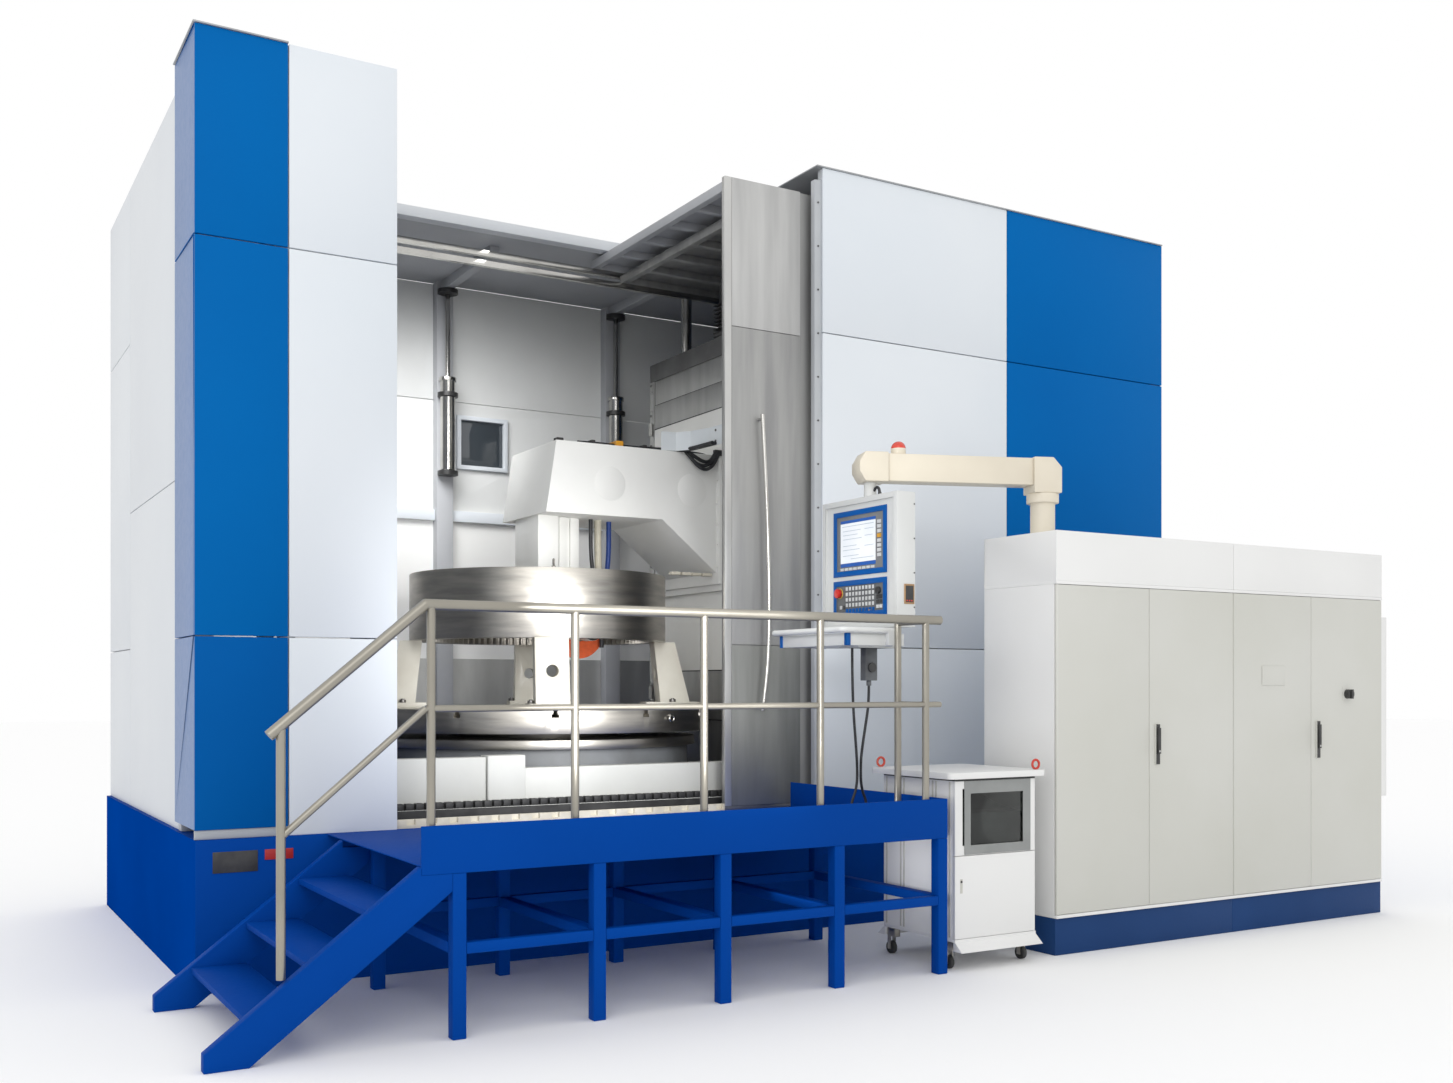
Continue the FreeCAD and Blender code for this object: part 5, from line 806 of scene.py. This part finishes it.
for z, near, away in ((2.568, -2.53, -2.21), (2.54, -2.40, -2.22), (2.515, -2.37, -2.22), (2.49, -2.41, -2.22),
                      (2.45, -2.36, -2.22), (2.425, -2.39, -2.22), (2.39, -2.38, -2.22), (2.54, -2.53, -2.44),
                      (2.50, -2.52, -2.44), (2.44, -2.53, -2.44), (2.37, -2.53, -2.30)):
    screen_parts.append(((glass_face - 0.0003, near, z), (glass_face + 0.0003, away, z + 0.0035), 2))
blocks("screen_face", screen_parts, 0.0002, [screen_white, screen_blue, line_grey, key_grey, key_amber],
       "pendant_head")

# Keys of the control panel: small moulded caps round the knob and the stop button,
# set in the dark panel.
panel_key_places = (
    (-2.612, -2.556, 2.118, 2.142, 0), (-2.612, -2.586, 2.09, 2.112, 0), (-2.58, -2.556, 2.09, 2.112, 0),
    (-2.50, -2.478, 2.0525, 2.0565, 1), (-2.612, -2.586, 2.062, 2.082, 2), (-2.58, -2.556, 2.062, 2.082, 2),
    (-2.242, -2.22, 2.07, 2.092, 0), (-2.21, -2.188, 2.07, 2.092, 2))
blocks("panel_keys", [((key_face, near, low), (screen_back, away, high), paint)
                      for near, away, low, high, paint in panel_key_places],
       0.0015, [handle_black, key_amber, key_grey], "pendant_head")

# Yellow ring round the stop button: a moulded plastic washer that lies flat on the
# panel.
stop_yellow = toned("stop_yellow", (0.72, 0.46, 0.02), (0.65, 0.40, 0.02), 0.35, coat=0.2, cloud=20)
collar = ((0.0287, 0), (0.0318, 0), (0.0318, 0.0015), (0.0308, 0.0025), (0.0287, 0.0025))
lathed("stop_collar", [((1.051, -2.185, 2.167), (-1, 0, 0), collar, 0)], [stop_yellow], "pendant_head",
       hollow=True)

# Side of the panel case: a small socket plate with three red lamps, and the screws
# that hold the case's side and back sheets.
side_tan = toned("side_tan", (0.36, 0.22, 0.11), (0.28, 0.17, 0.08), 0.45, cloud=20)
light_red = toned("light_red", (0.7, 0.05, 0.03), (0.6, 0.04, 0.02), 0.3, cloud=20)
blocks("side_socket", [((1.093, -2.7665, 2.078), (1.166, -2.7605, 2.194), 0),
                       ((1.102, -2.7685, 2.088), (1.157, -2.7655, 2.184), 1)]
       + [((x, -2.7705, 2.093), (x + 0.008, -2.768, 2.101), 2) for x in (1.106, 1.123, 1.140)],
       0.0015, [side_tan, handle_black, light_red], "pendant_head")
case_low, case_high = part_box("pendant_case")
case_rows = [screws((1.168, case_low[1] - 0.0005, 2.06), (0, 0, 0.2), 4, radius=0.005, height=0.004)]
for z in (2.0, 2.68):
    case_rows.append(screws((case_high[0] + 0.0005, -2.74, z), (0, 0.23, 0), 4, turn=facing_side))
grown("case_screws", screw_row, case_rows, screw_steel, "pendant_head")

# Keyboard tray: blue plastic corners pressed on the sheet tray, and rows of pale
# moulded keys.
blocks("tray_corners", [((left, y, 1.833), (right, y + 0.03, 1.9045), 0)
                        for left, right in ((0.7065, 0.733), (1.0, 1.034)) for y in (-2.7365, -2.0675)],
       0.003, [bezel_blue], "pendant_head")
key_white = toned("key_white", (0.55, 0.56, 0.56), (0.48, 0.49, 0.49), 0.5, cloud=16)
key_rows = [0.757 + 0.040 * row for row in range(6)]
key_columns = [-2.692 + 0.044 * place for place in range(14)]
blocks("keyboard_keys", [((x, y, 1.8745), (x + 0.032, y + 0.036, 1.881), 0)
                         for x in key_rows for y in key_columns],
       0.0015, [key_white], "pendant_head")

# Cable between the swing arm's neck and the panel case: a black rubber sheath that
# comes out of a rubber gland.
gland = ((0.018, 0), (0.018, 0.012), (0.012, 0.018), (0.012, 0.03))
lathed("neck_gland", [((1.135, -2.475, 2.7285), upward, gland, 0)], [handle_black], "pendant_head",
       sides=16)
case_cable = tube_curve("case_cable", [[(1.135, -2.475, 2.745), (1.135, -2.473, 2.775), (1.135, -2.455, 2.795),
                                        (1.134, -2.432, 2.79), (1.133, -2.42, 2.775)]], 0.009, sides=3)
case_cable.data.materials.append(cable_rubber)
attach(case_cable, "pendant_head")

# Hand unit of grey plastic on its hook, with its black wheel, and the controls of
# the panel: a red mushroom button and a black knob.
softened("remote_unit", 0.006, unit_grey)
softened("remote_hand_wheel", 0.002, handle_black)
softened("stop_button", 0.002, toned("stop_red", (0.6, 0.02, 0.01), (0.5, 0.02, 0.01), 0.3, coat=0.4, cloud=20))
softened("feed_knob", 0.002, handle_black)

# Cart: white cabinet of folded sheet on four castors, with a windowed door over
# a plain one and two red lifting eyes on top.
cart_top = 1.115
cart_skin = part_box("cart_window_door")[0][1]
ring_red = toned("ring_red", (0.55, 0.03, 0.015), (0.62, 0.10, 0.05), 0.35, coat=0.3, cloud=25)
softened("cart_body", 0.004, cabinet_white, (
    (unit_grey, (1.25, -3.02, 0.659), (1.745, -2.5, 0.872)),
    (ring_red, (-far, -far, cart_top + 0.0005), (far, far, far))))
softened("cart_lower_door", 0.003, cabinet_white)
clear_glass = material("clear_glass", (0.42, 0.45, 0.43), 0.04)
clear_glass.node_tree.nodes["Principled BSDF"].inputs["Transmission Weight"].default_value = 1.0
softened("cart_window_door", 0.003, cabinet_white, (
    (clear_glass, (1.246, cart_skin + 0.003, 0.70), (1.748, -3.078, 1.03)),))

# Frame of the cart's window: grey plastic moulded in one piece, pressed on round
# the pane.
frame_grey = toned("frame_grey", (0.28, 0.29, 0.285), (0.24, 0.25, 0.245), 0.4, cloud=6)
window_frame = bmesh.new()
outer = ((1.259, 0.650), (1.756, 0.650), (1.756, 1.066), (1.259, 1.066))
inner = ((1.304, 0.702), (1.698, 0.702), (1.698, 0.995), (1.304, 0.995))
front_outer, front_inner, back_outer, back_inner = [
    [window_frame.verts.new((x, y, z)) for x, z in outline]
    for y in (cart_skin - 0.004, cart_skin - 0.0002) for outline in (outer, inner)]
for side in range(4):
    after = (side + 1) % 4
    for ring, other in ((front_outer, front_inner), (back_inner, back_outer),
                        (back_outer, front_outer), (front_inner, back_inner)):
        window_frame.faces.new((ring[side], ring[after], other[after], other[side]))
bmesh.ops.recalc_face_normals(window_frame, faces=window_frame.faces)
bmesh.ops.bevel(window_frame, geom=window_frame.edges[:], offset=0.001, segments=2, profile=0.5, affect="EDGES",
                material=-1)
finished("cart_window_frame", window_frame, [frame_grey], "cart_window_door")

# Trim of the cart: a black rubber gasket under its top, cream ribs on both sides,
# and the pull and the lock of the lower door.
gasket_black = toned("gasket_black", (0.02, 0.022, 0.022), (0.04, 0.042, 0.042), 0.6, cloud=20)
blocks("cart_door_gasket", [((1.1935, cart_skin - 0.0035, 1.0665), (1.79, cart_skin + 0.0005, 1.0765), 0)],
       0.001, [gasket_black], "cart_window_door")
blocks("cart_gaskets", [
    ((1.1905, -3.0955, 1.0675), (1.1932, -2.443, 1.0795), 0),
    ((1.7998, -3.065, 1.0675), (1.8025, -2.443, 1.0795), 0)],
       0.001, [gasket_black], "machine_frame")
rib_cream = toned("rib_cream", (0.56, 0.55, 0.50), (0.48, 0.47, 0.43), 0.45, cloud=8)
blocks("cart_ribs", [((x, y, 0.185), (x + 0.004, y + 0.012, 1.062), 0)
                     for y in (-3.055, -2.935, -2.905, -2.64, -2.61, -2.475) for x in (1.1895, 1.7995)],
       0.0015, [rib_cream], "machine_frame")
blocks("cart_door_pull", [((1.229, cart_skin - 0.0015, 0.435), (1.247, cart_skin + 0.0005, 0.515), 0)],
       0.0008, [rib_cream], "cart_lower_door")
lock_shape = ((0.007, 0), (0.007, 0.002), (0.005, 0.003))
lathed("cart_door_lock", [((1.238, cart_skin - 0.0012, 0.50), forward, lock_shape, 0)],
       [handle_black], "cart_lower_door", sides=16)

# Swivel castors: pressed steel forks that turn under the cart's floor, with black
# rubber wheels on their axles.
castor_rubber = toned("castor_rubber", (0.02, 0.02, 0.02), (0.05, 0.05, 0.05), 0.6, cloud=18)
for index in range(1, 5):
    softened("castor_fork_%d" % index, 0.001, ground_steel)
    softened("castor_wheel_%d" % index, 0.003, castor_rubber)
